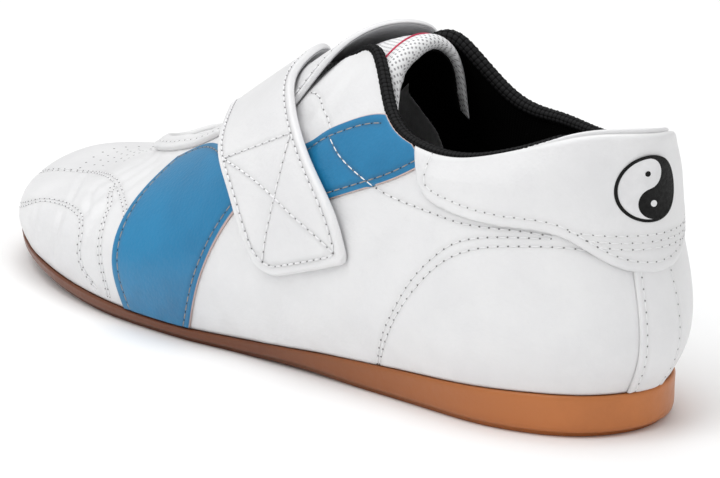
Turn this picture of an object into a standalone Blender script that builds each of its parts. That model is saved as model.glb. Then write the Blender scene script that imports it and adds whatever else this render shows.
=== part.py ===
"""Left taekwondo shoe with a strap over the instep, standing empty on its sole.

The toe points to -X, the outer side of the foot faces -Y, the floor is z = 0 and
the origin lies on the floor under the middle of the shoe.

Every curved piece is worked out from one last: sections around the foot, each with
a foot, a belly, a shoulder and a top point.  The tables are drafted in millimetres
as (along from the heel, across towards the inner side, up) and graded to the
driving dimensions below.
"""

import math

import bmesh
import bpy
import numpy as np

# Driving dimensions, metres
LENGTH = 0.2709
BALL_WIDTH = 0.0904
HEEL_HEIGHT = 0.0840
UPPER_WALL = 0.0022
OVERLAY = 0.0011
STRAP_THICKNESS = 0.0024
BAND_THICKNESS = 0.0018
TONGUE_SHEET = 0.0024
TONGUE_RIM = 0.0052
INSOLE_THICKNESS = 0.0024
INSOLE_CLEARANCE = 0.0017
GAP = 0.0003

# The size that the tables are drafted at, millimetres
DRAFT_LENGTH = 270.9
DRAFT_BALL_WIDTH = 90.4
DRAFT_HEEL_HEIGHT = 84.0
DRAFT_MIDDLE_ALONG = 136.03
DRAFT_MIDDLE_ACROSS = -2.03

# Metres for each draft millimetre
ALONG_GRADE = LENGTH / DRAFT_LENGTH
ACROSS_GRADE = BALL_WIDTH / DRAFT_BALL_WIDTH
UP_GRADE = HEEL_HEIGHT / DRAFT_HEEL_HEIGHT

# Facets
AROUND = 96
RISE_STEPS = (0.0, 0.05, 0.11, 0.18, 0.27, 0.38, 0.49, 0.60, 0.71, 0.82, 0.92, 1.0)
DENSE_AROUND = 960
DENSE_RISE = 240
SHARP_EDGE_DEGREES = 40
CUFF_GRID = (5, 41)
BACKSTAY_GRID = (9, 7)
EYESTAY_GRID = (4, 31)
SADDLE_GRID = (11, 8)
FACING_GRID = (6, 11)
TONGUE_ACROSS = 11
TONGUE_STEPS = 16
TONGUE_RIM_STEPS = 5
PLY_ACROSS = 7
PLY_SIDE_STEPS = 5
STRAP_STEPS = 35
BAND_STEPS = 25

# Sections around the last, from the heel along the outer side to the toe and back along
# the inner side.  rim: the sole's outline; belly: how far the wall stands out past
# the rim and at what height; shoulder and top: points of the section.
SECTION_COLUMNS = (
    "rim_along", "rim_across", "belly_out", "belly_up",
    "shoulder_along", "shoulder_across", "shoulder_up",
    "top_along", "top_across", "top_up",
)
SECTIONS = (
    (8.0, -1.0, 4.5, 21.0, 9.8, -1.0, 60.0, 9.0, -1.0, 83.6),
    (14.4, -19.6, 3.4, 23.0, 15.8, -18.4, 60.0, 16.0, -14.4, 84.0),
    (33.0, -31.0, 3.5, 28.0, 33.0, -30.8, 57.0, 27.0, -22.5, 80.2),
    (62.0, -35.4, 3.5, 27.0, 62.0, -35.8, 52.0, 52.0, -27.5, 72.0),
    (90.0, -37.6, 3.0, 25.0, 86.0, -37.0, 53.0, 72.0, -28.0, 71.5),
    (108.0, -39.4, 2.5, 23.0, 102.0, -37.0, 56.0, 88.0, -24.0, 76.5),
    (120.0, -40.6, 2.0, 22.0, 114.0, -34.0, 60.0, 104.0, -15.0, 88.0),
    (133.0, -42.0, 2.0, 21.0, 127.0, -32.0, 60.0, 112.0, -12.8, 88.0),
    (150.0, -45.0, 1.5, 19.0, 147.0, -31.0, 53.0, 133.0, -13.8, 75.0),
    (172.0, -47.0, 1.0, 17.0, 169.0, -29.0, 44.5, 160.0, -13.4, 60.0),
    (199.0, -46.2, 1.0, 16.0, 194.0, -27.0, 36.0, 186.0, -11.0, 46.6),
    (226.0, -40.6, 0.3, 14.5, 214.0, -24.0, 31.4, 200.0, -8.0, 41.2),
    (250.0, -29.4, -0.6, 14.0, 230.5, -16.5, 28.4, 206.5, -4.5, 39.0),
    (264.0, -15.8, -1.2, 15.4, 238.0, -6.5, 27.6, 208.8, -1.0, 38.2),
    (271.5, 5.0, -1.4, 17.0, 240.0, 4.0, 27.8, 209.3, 2.0, 38.0),
    (266.5, 22.5, -1.2, 15.8, 237.0, 12.5, 27.8, 208.5, 5.0, 38.2),
    (251.0, 36.0, -0.6, 14.6, 229.5, 21.0, 29.0, 206.0, 8.5, 39.2),
    (228.0, 43.2, 0.3, 15.0, 215.0, 27.5, 32.6, 199.5, 11.0, 41.4),
    (200.0, 42.6, 1.0, 17.0, 194.0, 28.5, 38.0, 186.0, 13.0, 46.6),
    (172.0, 37.5, 1.5, 18.0, 168.0, 27.5, 45.5, 160.0, 14.4, 60.0),
    (148.0, 32.0, 2.5, 20.0, 146.0, 27.5, 54.0, 134.0, 14.6, 75.0),
    (131.0, 29.5, 3.0, 22.0, 127.0, 27.5, 60.0, 112.0, 13.2, 88.0),
    (118.0, 29.0, 3.5, 23.0, 113.0, 29.0, 61.0, 104.0, 15.4, 88.0),
    (106.0, 28.8, 4.0, 24.0, 101.0, 31.0, 57.0, 90.0, 22.0, 74.4),
    (88.0, 29.0, 4.0, 25.0, 84.0, 32.0, 54.0, 74.0, 25.6, 70.2),
    (62.0, 30.0, 3.5, 27.0, 62.0, 31.5, 53.0, 54.0, 25.8, 69.0),
    (33.0, 27.0, 3.2, 28.0, 33.0, 28.0, 57.0, 28.0, 21.0, 75.2),
    (16.0, 16.0, 3.6, 23.0, 17.0, 15.6, 60.0, 16.8, 12.6, 80.2),
)
TOE_SECTION = 14
LAST_SECTION = len(SECTIONS)

# Sole: height of its rim along the foot, and how far the tread is tucked in under it
RIM_COLUMNS = ("along", "rim_up", "tuck")
RIM_PROFILE = (
    (4.0, 12.9, 2.0),
    (23.0, 12.6, 1.0),
    (40.0, 11.3, 0.6),
    (62.0, 10.0, 0.6),
    (90.0, 8.9, 0.6),
    (108.0, 7.7, 0.6),
    (133.0, 5.3, 0.6),
    (172.0, 4.2, 0.6),
    (199.0, 5.2, 0.6),
    (228.0, 7.6, 0.6),
    (250.0, 10.6, 0.9),
    (272.0, 14.8, 1.2),
)
TOE_SPRING = 9.0
SPRING_START = 185.0
SPRING_END = 272.0
SPRING_POWER = 1.5
WAIST_LIFT = 0.8
WAIST_START = 82.0
WAIST_END = 138.0
TREAD = 1.3
TREAD_INSET = 1.3
FOOT_INSET = 0.9

# Rings of the sole's side, from the top edge down to the tread: a share of the side's
# height, an inset in millimetres, and a share of the tuck
SOLE_RING_COLUMNS = ("share", "inset", "tuck_share")
SOLE_RINGS = (
    (1.00, 0.5, 0.0),
    (0.90, 0.0, 0.0),
    (0.50, 0.2, 0.0),
    (0.16, 0.3, 0.0),
    (0.00, 0.7, 0.3),
    (0.00, 1.0, 1.0),
)

# Heel cuff, from the heel's middle to its front end: section and height of its lower edge,
# and section of its upper edge; the other side mirrors it
CUFF_COLUMNS = ("low_section", "low_up", "top_section")
CUFF_EDGE = (
    (0.00, 45.0, 0.00),
    (0.70, 49.0, 0.70),
    (1.30, 56.0, 1.30),
    (2.00, 57.0, 2.02),
    (2.60, 57.4, 2.75),
    (3.05, 59.0, 3.45),
    (3.35, 62.4, 3.95),
)
BACKSTAY_HALF_WIDTH = 8.0
BACKSTAY_UNDER_LOBE = 0.8
BACKSTAY_RISE = 0.4
EYESTAY_WIDTH = 8.0
EYESTAY_REAR_SECTION = 9.3
OVERLAY_TOP_RISE = 0.985
OVERLAY_LOW_RISE = 0.05

# Blue side panel in front of the strap: sections of its two ends at the sole, and its
# upper edge, side view (along, up)
SADDLE_LOWER = (8.05, 9.25)
SADDLE_UPPER = ((140.0, 46.0), (155.0, 51.0), (171.0, 49.5), (185.0, 42.6))

# Blue facing behind the strap: its lower and upper edges, side view (along, up)
FACING_LOWER = ((71.5, 63.5), (86.0, 57.0), (104.0, 49.0))
FACING_UPPER = ((76.0, 70.6), (93.0, 75.2), (116.5, 62.0))

# Tongue: section and rise of its edge and of its fold at the throat, then its crest
TONGUE_COLUMNS = ("edge_section", "edge_rise", "fold_section", "fold_rise", "crest_along", "crest_up")
TONGUE_ROWS = (
    (12.2, 0.91, 13.2, 0.91, 213.5, 32.2),
    (11.0, 0.86, 11.0, 0.97, 197.5, 38.6),
    (10.0, 0.80, 10.0, 0.97, 184.0, 46.6),
    (9.0, 0.80, 9.0, 0.97, 158.0, 63.4),
    (8.0, 0.80, 8.0, 0.97, 132.0, 78.4),
    (7.0, 0.80, 7.0, 0.97, 112.0, 89.0),
)
# The tongue's rim (along, across, up), from its edge inside the outer quarter over its top
# to its inner edge
TONGUE_RIM_LINE = (
    (93.5, -17.5, 74.0),
    (97.5, -15.0, 86.0),
    (99.5, 0.0, 92.5),
    (102.5, 12.0, 83.0),
    (104.0, 16.0, 66.0),
)
TONGUE_RIM_WIDTH = 9.0
TONGUE_CREST_ACROSS = 1.0
TONGUE_CLEARANCE = 0.0016

# Strap and band: front and rear edges from the outer side over the crest to the inner side.
# On a side, an edge is a side-view place (along, up) on the upper, and lift is how far the
# underside stands off it; where a row is free, its edges are places in the air.
PLY_COLUMNS = (
    "where", "front_along", "front_across", "front_up", "rear_along", "rear_across", "rear_up", "lift",
)
STRAP_ROWS = (
    ("outer", 119.0, 0.0, 25.8, 85.5, 0.0, 37.0, 0.4),
    ("outer", 128.0, 0.0, 37.4, 91.5, 0.0, 49.0, 1.8),
    ("outer", 137.5, 0.0, 46.8, 104.0, 0.0, 59.4, 2.8),
    ("outer", 151.5, 0.0, 52.8, 123.0, 0.0, 70.2, 3.1),
    ("free", 170.5, -13.0, 57.3, 137.0, -14.0, 78.2, 0.0),
    ("free", 183.5, 0.0, 53.6, 144.0, 0.0, 79.4, 0.0),
    ("inner", 187.0, 0.0, 41.0, 158.0, 0.0, 57.0, 3.0),
    ("inner", 186.0, 0.0, 29.0, 158.0, 0.0, 38.0, 1.9),
    ("inner", 184.0, 0.0, 19.0, 157.0, 0.0, 22.0, 1.9),
)
BAND_ROWS = (
    ("outer", 151.0, 0.0, 56.0, 130.0, 0.0, 63.0, 0.4),
    ("outer", 149.0, 0.0, 60.5, 127.5, 0.0, 71.0, 0.4),
    ("free", 143.0, -10.0, 73.4, 121.5, -11.0, 86.6, 0.0),
    ("free", 141.0, 1.0, 75.9, 116.5, 1.0, 91.5, 0.0),
    ("free", 142.0, 12.0, 72.6, 113.5, 13.0, 88.8, 0.0),
    ("inner", 147.0, 0.0, 60.0, 122.0, 0.0, 71.0, 0.4),
    ("inner", 148.0, 0.0, 55.0, 124.0, 0.0, 63.0, 0.4),
)


def spline(knots, rows, at, period=None):
    """Cubic spline with continuous curvature through the rows, open or closed.

    An open one has no curvature at its ends; a closed one repeats after the period.
    """
    knots = np.asarray(knots, float)
    rows = np.asarray(rows, float)
    at = np.asarray(at, float)
    count = len(knots)
    index = np.arange(count)
    if period is None:
        step = np.diff(knots)
        slope = np.diff(rows, axis=0) / step[:, None]
        system = np.eye(count)
        inner = index[1:-1]
        system[inner, inner - 1] = step[:-1]
        system[inner, inner] = 2 * (step[:-1] + step[1:])
        system[inner, inner + 1] = step[1:]
        load = np.zeros_like(rows)
        load[1:-1] = 6 * np.diff(slope, axis=0)
        place = np.clip(at, knots[0], knots[-1])
    else:
        step = np.diff(np.append(knots, knots[0] + period))
        slope = (np.roll(rows, -1, 0) - rows) / step[:, None]
        before = np.roll(step, 1)
        system = np.zeros((count, count))
        system[index, index] = 2 * (before + step)
        system[index, index - 1] += before
        system[index, (index + 1) % count] += step
        load = 6 * (slope - np.roll(slope, 1, 0))
        place = knots[0] + np.mod(at - knots[0], period)
    bend = np.linalg.solve(system, load)
    cell = np.clip(np.searchsorted(knots, place, side="right") - 1, 0, len(step) - 1)
    after = (cell + 1) % count
    width = step[cell][:, None]
    part = (place - knots[cell])[:, None] / width
    rest = 1 - part
    curve = ((rest ** 3 - rest) * bend[cell] + (part ** 3 - part) * bend[after]) * width ** 2 / 6
    return rest * rows[cell] + part * rows[after] + curve


def unit(vectors):
    """Vectors scaled to length one."""
    return vectors / np.linalg.norm(vectors, axis=-1, keepdims=True)


def chord(points):
    """Shares of a polyline's length at its points, from 0 to 1."""
    steps = np.linalg.norm(np.diff(points, axis=0), axis=1)
    return np.concatenate([[0], np.cumsum(steps)]) / steps.sum()


def place(draft):
    """Draft points in millimetres, graded and set on the floor frame in metres."""
    along, across, up = np.moveaxis(np.asarray(draft, float), -1, 0)
    return np.stack([
        (DRAFT_MIDDLE_ALONG - along) * ALONG_GRADE,
        (across - DRAFT_MIDDLE_ACROSS) * ACROSS_GRADE,
        up * UP_GRADE,
    ], -1)


def column(table, columns, name):
    """One named column of numbers from a table."""
    return np.array([row[columns.index(name)] for row in table], float)


def table_points(table, columns, prefix):
    """Points from the three columns of a table that share a prefix."""
    return np.stack([column(table, columns, prefix + axis) for axis in ("along", "across", "up")], -1)


def rim_up(along):
    """Height of the sole's top edge at places along the foot."""
    knots = column(RIM_PROFILE, RIM_COLUMNS, "along")
    heights = column(RIM_PROFILE, RIM_COLUMNS, "rim_up")
    return spline(knots, heights[:, None], along)[:, 0]


def tread_up(along):
    """Height of the tread: flat, a little raised at the waist, sprung up at the toe."""
    spring = np.clip((along - SPRING_START) / (SPRING_END - SPRING_START), 0, None)
    waist = np.clip((along - WAIST_START) / (WAIST_END - WAIST_START), 0, 1)
    return TOE_SPRING * spring ** SPRING_POWER + WAIST_LIFT * np.sin(math.pi * waist) ** 2


def outward(outline):
    """Plan normals of a closed outline of (along, across) points that runs heel, outer side, toe."""
    tangent = np.roll(outline, -1, 0) - np.roll(outline, 1, 0)
    return unit(np.stack([tangent[:, 1], -tangent[:, 0]], -1))


class Last:
    """The foot's form: a dense sheet of points and normals, by (around, rise) from 0 to 1."""

    def __init__(self):
        rim = np.stack([
            column(SECTIONS, SECTION_COLUMNS, "rim_along"),
            column(SECTIONS, SECTION_COLUMNS, "rim_across"),
        ], -1)
        top = table_points(SECTIONS, SECTION_COLUMNS, "top_")
        shoulder = table_points(SECTIONS, SECTION_COLUMNS, "shoulder_")
        self.knots = self.spread(rim, top)
        normal = outward(rim)
        foot_plan = rim - FOOT_INSET * normal
        foot = np.column_stack([foot_plan, rim_up(foot_plan[:, 0]) + GAP / UP_GRADE])
        belly_plan = rim + column(SECTIONS, SECTION_COLUMNS, "belly_out")[:, None] * normal
        belly = np.column_stack([belly_plan, column(SECTIONS, SECTION_COLUMNS, "belly_up")])
        self.rises = np.linspace(0, 1, DENSE_RISE + 1)
        profiles = [self.profile(np.stack(points), self.rises) for points in zip(foot, belly, shoulder, top)]
        flat = np.array(profiles).reshape(LAST_SECTION, -1)
        around = np.arange(DENSE_AROUND) / DENSE_AROUND
        self.draft = spline(self.knots, flat, around, 1.0).reshape(DENSE_AROUND, DENSE_RISE + 1, 3)
        self.draft[:, 0, 2] = rim_up(self.draft[:, 0, 0]) + GAP / UP_GRADE
        self.points = place(self.draft)
        along_around = np.roll(self.points, -1, 0) - np.roll(self.points, 1, 0)
        along_rise = np.gradient(self.points, axis=1)
        self.normals = unit(np.cross(along_rise, along_around))
        self.rim = rim

    @staticmethod
    def spread(rim, top):
        """Places of the sections around the last: heel at 0, toe at a half, by mean distance."""
        pace = np.linalg.norm(np.roll(rim, -1, 0) - rim, axis=1)
        pace = pace + np.linalg.norm(np.roll(top, -1, 0) - top, axis=1)
        outer = np.concatenate([[0], np.cumsum(pace[:TOE_SECTION])])
        inner = np.concatenate([[0], np.cumsum(pace[TOE_SECTION:])])
        return np.concatenate([0.5 * outer / outer[-1], 0.5 + 0.5 * inner[1:-1] / inner[-1]])

    @staticmethod
    def profile(points, rise):
        """A section's curve from foot to top, by share of its length."""
        knots = chord(points)
        fine = np.linspace(0, 1, 4 * len(rise))
        curve = spline(knots, points, fine)
        return spline(knots, points, np.interp(rise, chord(curve), fine))

    def around(self, section):
        """Place around the last of a section number, whole or between two; below 0 it is the inner side."""
        knots = np.concatenate([self.knots - 1, self.knots, self.knots + 1])
        numbers = np.arange(-LAST_SECTION, 2 * LAST_SECTION)
        return np.interp(section, numbers, knots)

    def sample(self, sheet, around, rise):
        """A dense sheet read at any place, between its points."""
        across = np.mod(np.asarray(around, float), 1.0) * DENSE_AROUND
        upward = np.clip(np.asarray(rise, float), 0, 1) * DENSE_RISE
        low = np.floor(across).astype(int)
        base = np.minimum(np.floor(upward).astype(int), DENSE_RISE - 1)
        part = (across - low)[..., None]
        share = (upward - base)[..., None]
        left = low % DENSE_AROUND
        right = (low + 1) % DENSE_AROUND
        first = (1 - share) * sheet[left, base] + share * sheet[left, base + 1]
        second = (1 - share) * sheet[right, base] + share * sheet[right, base + 1]
        return (1 - part) * first + part * second

    def skin(self, around, rise, lift):
        """Points on the last moved out along its normal by lift metres."""
        around, rise = np.broadcast_arrays(around, rise)
        normals = unit(self.sample(self.normals, around, rise))
        return self.sample(self.points, around, rise) + normals * np.asarray(lift)[..., None]

    def rise_at(self, around, up):
        """Rise at which each place around the last reaches a draft height."""
        heights = self.sample(self.draft, np.asarray(around)[:, None], self.rises)[..., 2]
        return np.array([np.interp(level, line, self.rises) for level, line in zip(up, heights)])

    def rise_below_top(self, around, width):
        """Rise that lies a width in millimetres under the top edge, measured along the wall."""
        lines = self.sample(self.draft, np.asarray(around)[:, None], self.rises)
        length = np.linalg.norm(np.diff(lines, axis=1), axis=2).sum(axis=1)
        return 1 - width / length

    def locate(self, side, along, up):
        """(around, rise) of side-view places on the outer or the inner side."""
        half = DENSE_AROUND // 2
        first = 0 if side == "outer" else half
        sheet = self.draft[first:first + half][..., [0, 2]]
        slope_around, slope_rise = np.gradient(sheet, axis=(0, 1))
        target = np.stack([np.ravel(along), np.ravel(up)], -1)
        found = []
        for spot in target:
            miss = np.sum((sheet - spot) ** 2, axis=2)
            row, col = np.unravel_index(np.argmin(miss), miss.shape)
            steer = np.stack([slope_around[row, col], slope_rise[row, col]], -1)
            step = np.linalg.solve(steer, spot - sheet[row, col])
            step = np.clip(step, -2, 2)
            found.append(((first + row + step[0]) / DENSE_AROUND, (col + step[1]) / DENSE_RISE))
        shape = np.shape(along)
        around, rise = np.array(found).T
        return around.reshape(shape), np.clip(rise, 0, 1).reshape(shape)


def grid_faces(rows, columns, closed_rows=False, closed_columns=False, start=0):
    """Quads of a grid of points stored row by row."""
    row_count = rows if closed_rows else rows - 1
    column_count = columns if closed_columns else columns - 1
    quads = []
    for row in range(row_count):
        for col in range(column_count):
            below = start + row * columns
            above = start + ((row + 1) % rows) * columns
            beside = (col + 1) % columns
            quads.append((below + col, below + beside, above + beside, above + col))
    return quads


def make_material(name, colour, roughness):
    """A plain Principled BSDF finish."""
    material = bpy.data.materials.new(name)
    material.use_nodes = True
    shader = material.node_tree.nodes["Principled BSDF"]
    shader.inputs["Base Color"].default_value = (*colour, 1.0)
    shader.inputs["Roughness"].default_value = roughness
    return material


def make_solid(name, points, faces, material):
    """A closed body with its faces pointing out, shaded smooth."""
    mesh = bpy.data.meshes.new(name)
    mesh.from_pydata([tuple(point) for point in points], [], faces)
    body = bmesh.new()
    body.from_mesh(mesh)
    bmesh.ops.recalc_face_normals(body, faces=body.faces)
    body.to_mesh(mesh)
    body.free()
    mesh.materials.append(material)
    mesh.shade_smooth()
    mesh.set_sharp_from_angle(angle=math.radians(SHARP_EDGE_DEGREES))
    solid = bpy.data.objects.new(name, mesh)
    bpy.context.scene.collection.objects.link(solid)
    return solid


def make_slab(name, under, over, material):
    """A sheet between two grids of points, closed along its edges."""
    rows, columns = under.shape[:2]
    points = np.concatenate([under.reshape(-1, 3), over.reshape(-1, 3)])
    offset = rows * columns
    faces = [quad[::-1] for quad in grid_faces(rows, columns)] + grid_faces(rows, columns, start=offset)
    border = [col for col in range(columns)]
    border += [row * columns + columns - 1 for row in range(1, rows)]
    border += [(rows - 1) * columns + col for col in range(columns - 2, -1, -1)]
    border += [row * columns for row in range(rows - 2, 0, -1)]
    for first, second in zip(border, border[1:] + border[:1]):
        faces.append((first, second, second + offset, first + offset))
    return make_solid(name, points, faces, material)


def make_stack(name, rings, material):
    """A body from closed rings of equal count, closed above and below across the foot."""
    count = len(rings[0])
    points = np.concatenate(rings)
    faces = grid_faces(len(rings), count, closed_columns=True)
    for first in (0, (len(rings) - 1) * count):
        half = count // 2
        for step in range(half):
            near = first + step
            far = first + (count - step) % count
            corners = [near, near + 1, first + (count - step - 1) % count, far]
            faces.append(tuple(dict.fromkeys(corners)))
    return make_solid(name, points, faces, material)


def rim_outline(last):
    """The sole's outline at the facets' places around, with its plan normals."""
    outline = spline(last.knots, last.rim, np.arange(AROUND) / AROUND, 1.0)
    return outline, outward(outline)


def make_outsole(last, material):
    """Gum sole: a thin wedge with a rounded side, a tucked tread, a raised waist and toe spring."""
    outline, normal = rim_outline(last)
    tuck_knots = column(RIM_PROFILE, RIM_COLUMNS, "along")
    tuck_rows = column(RIM_PROFILE, RIM_COLUMNS, "tuck")
    tuck = np.interp(outline[:, 0], tuck_knots, tuck_rows)[:, None]
    rings = []
    for row in SOLE_RINGS:
        ring = dict(zip(SOLE_RING_COLUMNS, row))
        plan = outline - (ring["inset"] + tuck * ring["tuck_share"]) * normal
        foot = tread_up(plan[:, 0]) + TREAD
        rings.append(np.column_stack([plan, foot + ring["share"] * (rim_up(plan[:, 0]) - foot)]))
    tread_plan = outline - (tuck + TREAD_INSET) * normal
    rings.append(np.column_stack([tread_plan, tread_up(tread_plan[:, 0])]))
    return make_stack("outsole", [place(ring) for ring in rings], material)


def make_insole(last, material):
    """Sock board on the sole, clear of the upper's wall."""
    outline, normal = rim_outline(last)
    plan = outline - (FOOT_INSET + (UPPER_WALL + INSOLE_CLEARANCE) / ACROSS_GRADE) * normal
    seat = rim_up(plan[:, 0]) + GAP / UP_GRADE
    under = place(np.column_stack([plan, seat]))
    over = place(np.column_stack([plan, seat + INSOLE_THICKNESS / UP_GRADE]))
    return make_stack("insole", [over, under], material)


def make_upper(last, material):
    """Vamp and quarters: one wall around the foot, open at throat, collar and underneath."""
    around = (np.arange(AROUND) / AROUND)[None, :]
    rise = np.array(RISE_STEPS)[:, None]
    outer = last.skin(around, rise, np.zeros((len(rise), AROUND)))
    inner = last.skin(around, rise, np.full((len(rise), AROUND), -UPPER_WALL))
    inner[0, :, 2] = outer[0, :, 2]
    sheets = np.concatenate([outer, inner[::-1]])
    faces = grid_faces(2 * len(rise), AROUND, closed_rows=True, closed_columns=True)
    return make_solid("upper", sheets.reshape(-1, 3), faces, material)


def make_overlay(name, last, around, rise, material):
    """A leather overlay on the upper, between two offsets of the last."""
    under = last.skin(around, rise, np.full(np.shape(rise), GAP))
    over = last.skin(around, rise, np.full(np.shape(rise), GAP + OVERLAY))
    return make_slab(name, under, over, material)


def make_heel_cuff(last, material):
    """Padded collar overlay round the heel, with a lobe over the backstay."""
    outer = np.array(CUFF_EDGE)
    inner = outer[:0:-1] * (-1, 1, -1)
    rows = np.concatenate([inner, outer])
    steps = np.linspace(0, len(rows) - 1, CUFF_GRID[1])
    edge = dict(zip(CUFF_COLUMNS, spline(np.arange(len(rows)), rows, steps).T))
    low = last.around(edge["low_section"])
    share = np.linspace(0, 1, CUFF_GRID[0])[:, None]
    around = low + share * (last.around(edge["top_section"]) - low)
    low_rise = last.rise_at(low, edge["low_up"])
    rise = low_rise + share * (OVERLAY_TOP_RISE - low_rise)
    return make_overlay("heel_cuff", last, around, rise, material)


def make_backstay(last, material):
    """Raised strip down the heel's middle, up to the cuff's lobe."""
    lobe = column(CUFF_EDGE, CUFF_COLUMNS, "low_up").min()
    heel = last.sample(last.draft, np.array([0, 1]) / DENSE_AROUND, BACKSTAY_RISE)
    pace = np.linalg.norm(heel[1] - heel[0]) * DENSE_AROUND
    around = np.linspace(-1, 1, BACKSTAY_GRID[1]) * BACKSTAY_HALF_WIDTH / pace
    high = last.rise_at(around, np.full(around.shape, lobe - BACKSTAY_UNDER_LOBE))
    share = np.linspace(0, 1, BACKSTAY_GRID[0])[:, None]
    rise = OVERLAY_LOW_RISE + share * (high - OVERLAY_LOW_RISE)
    return make_overlay("backstay", last, np.broadcast_to(around, rise.shape), rise, material)


def make_eyestay(last, material):
    """Rounded strip around the front end of the throat."""
    ends = (EYESTAY_REAR_SECTION, LAST_SECTION - EYESTAY_REAR_SECTION)
    around = last.around(np.linspace(*ends, EYESTAY_GRID[1]))
    low = last.rise_below_top(around, EYESTAY_WIDTH)
    rise = low + np.linspace(0, 1, EYESTAY_GRID[0])[:, None] * (OVERLAY_TOP_RISE - low)
    return make_overlay("eyestay", last, np.broadcast_to(around, rise.shape), rise, material)


def make_saddle(side, last, material):
    """Blue panel in front of the strap, from the sole up to the eyestay and under the strap."""
    at = np.linspace(0, 1, SADDLE_GRID[1])
    section = SADDLE_LOWER[0] + at * (SADDLE_LOWER[1] - SADDLE_LOWER[0])
    low = last.around(section if side == "outer" else LAST_SECTION - section)
    upper = spline(np.linspace(0, 1, len(SADDLE_UPPER)), SADDLE_UPPER, at)
    high, top = last.locate(side, upper[:, 0], upper[:, 1])
    share = np.linspace(0, 1, SADDLE_GRID[0])[:, None]
    around = low + share * (high - low)
    rise = OVERLAY_LOW_RISE + share * (top - OVERLAY_LOW_RISE)
    return make_overlay("saddle_" + side, last, around, rise, material)


def make_facing(side, last, material):
    """Blue panel behind the strap, up to the collar."""
    at = np.linspace(0, 1, FACING_GRID[1])
    lower = spline(np.linspace(0, 1, len(FACING_LOWER)), FACING_LOWER, at)
    upper = spline(np.linspace(0, 1, len(FACING_UPPER)), FACING_UPPER, at)
    share = np.linspace(0, 1, FACING_GRID[0])[:, None, None]
    places = lower + share * (upper - lower)
    around, rise = last.locate(side, places[..., 0], places[..., 1])
    return make_overlay("facing_" + side, last, around, np.minimum(rise, OVERLAY_TOP_RISE), material)


def make_tongue(last, material):
    """Tongue under the throat, folded down inside both quarters, with a thick rim at its top."""
    rows = []
    for row in TONGUE_ROWS:
        cell = dict(zip(TONGUE_COLUMNS, row))
        outer = np.array([cell["edge_section"], cell["fold_section"]])
        sections = np.concatenate([outer, LAST_SECTION - outer[::-1]])
        rises = np.array([cell["edge_rise"], cell["fold_rise"], cell["fold_rise"], cell["edge_rise"]])
        depth = np.full(rises.shape, UPPER_WALL + TONGUE_CLEARANCE)
        sides = last.skin(last.around(sections), rises, -depth)
        crest = place((cell["crest_along"], TONGUE_CREST_ACROSS, cell["crest_up"]))
        rows.append(np.vstack([sides[:2], crest, sides[2:]]))
    rows.append(place(TONGUE_RIM_LINE))
    across = np.linspace(0, 1, TONGUE_ACROSS)
    control = np.array([spline(chord(row), row, across) for row in rows])
    crest = control[:, len(across) // 2]
    run = np.concatenate([[0], np.cumsum(np.linalg.norm(np.diff(crest, axis=0), axis=1))])
    rim_start = run[-1] - TONGUE_RIM_WIDTH * UP_GRADE
    sheet = np.linspace(0, rim_start, TONGUE_STEPS)
    at = np.concatenate([sheet, np.linspace(rim_start, run[-1], TONGUE_RIM_STEPS)[1:]])
    over = spline(run, control.reshape(len(rows), -1), at).reshape(len(at), len(across), 3)
    slope_along, slope_across = np.gradient(over, axis=(0, 1))
    normal = unit(np.cross(slope_along, slope_across))
    swell = np.clip((at - rim_start) / (run[-1] - rim_start), 0, 1)
    depth = TONGUE_SHEET + np.sin(swell * math.pi / 2) * (TONGUE_RIM - TONGUE_SHEET)
    return make_slab("tongue", over - normal * depth[:, None, None], over, material)


def make_ply(name, last, table, thickness, steps, material):
    """A strap ply: laid on the outer side, bridged over the throat and laid on the inner side."""
    places = [row[PLY_COLUMNS.index("where")] for row in table]
    front = table_points(table, PLY_COLUMNS, "front_")
    rear = table_points(table, PLY_COLUMNS, "rear_")
    lift = column(table, PLY_COLUMNS, "lift")
    share = np.linspace(0, 1, PLY_ACROSS)
    lines = []
    for row, where in enumerate(places):
        after = min(row + 1, len(places) - 1)
        laid = after > row and where == places[after] != "free"
        reach = PLY_SIDE_STEPS if laid else 1
        for part in np.arange(reach) / reach:
            near = (1 - part) * front[row] + part * front[after]
            far = (1 - part) * rear[row] + part * rear[after]
            stand_off = (1 - part) * lift[row] + part * lift[after]
            edges = near + share[:, None] * (far - near)
            if where == "free":
                lines.append(place(edges))
            else:
                around, rise = last.locate(where, edges[:, 0], edges[:, 2])
                lines.append(last.skin(around, rise, np.full(share.shape, stand_off * UP_GRADE)))
    lines = np.array(lines)
    pace = np.linalg.norm(np.diff(lines, axis=0), axis=2).mean(axis=1)
    knots = np.concatenate([[0], np.cumsum(pace)]) / pace.sum()
    flat = spline(knots, lines.reshape(len(lines), -1), np.linspace(0, 1, steps))
    under = flat.reshape(steps, PLY_ACROSS, 3)
    slope_along, slope_across = np.gradient(under, axis=(0, 1))
    normal = unit(np.cross(slope_across, slope_along))
    return make_slab(name, under, under + normal * thickness, material)


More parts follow.
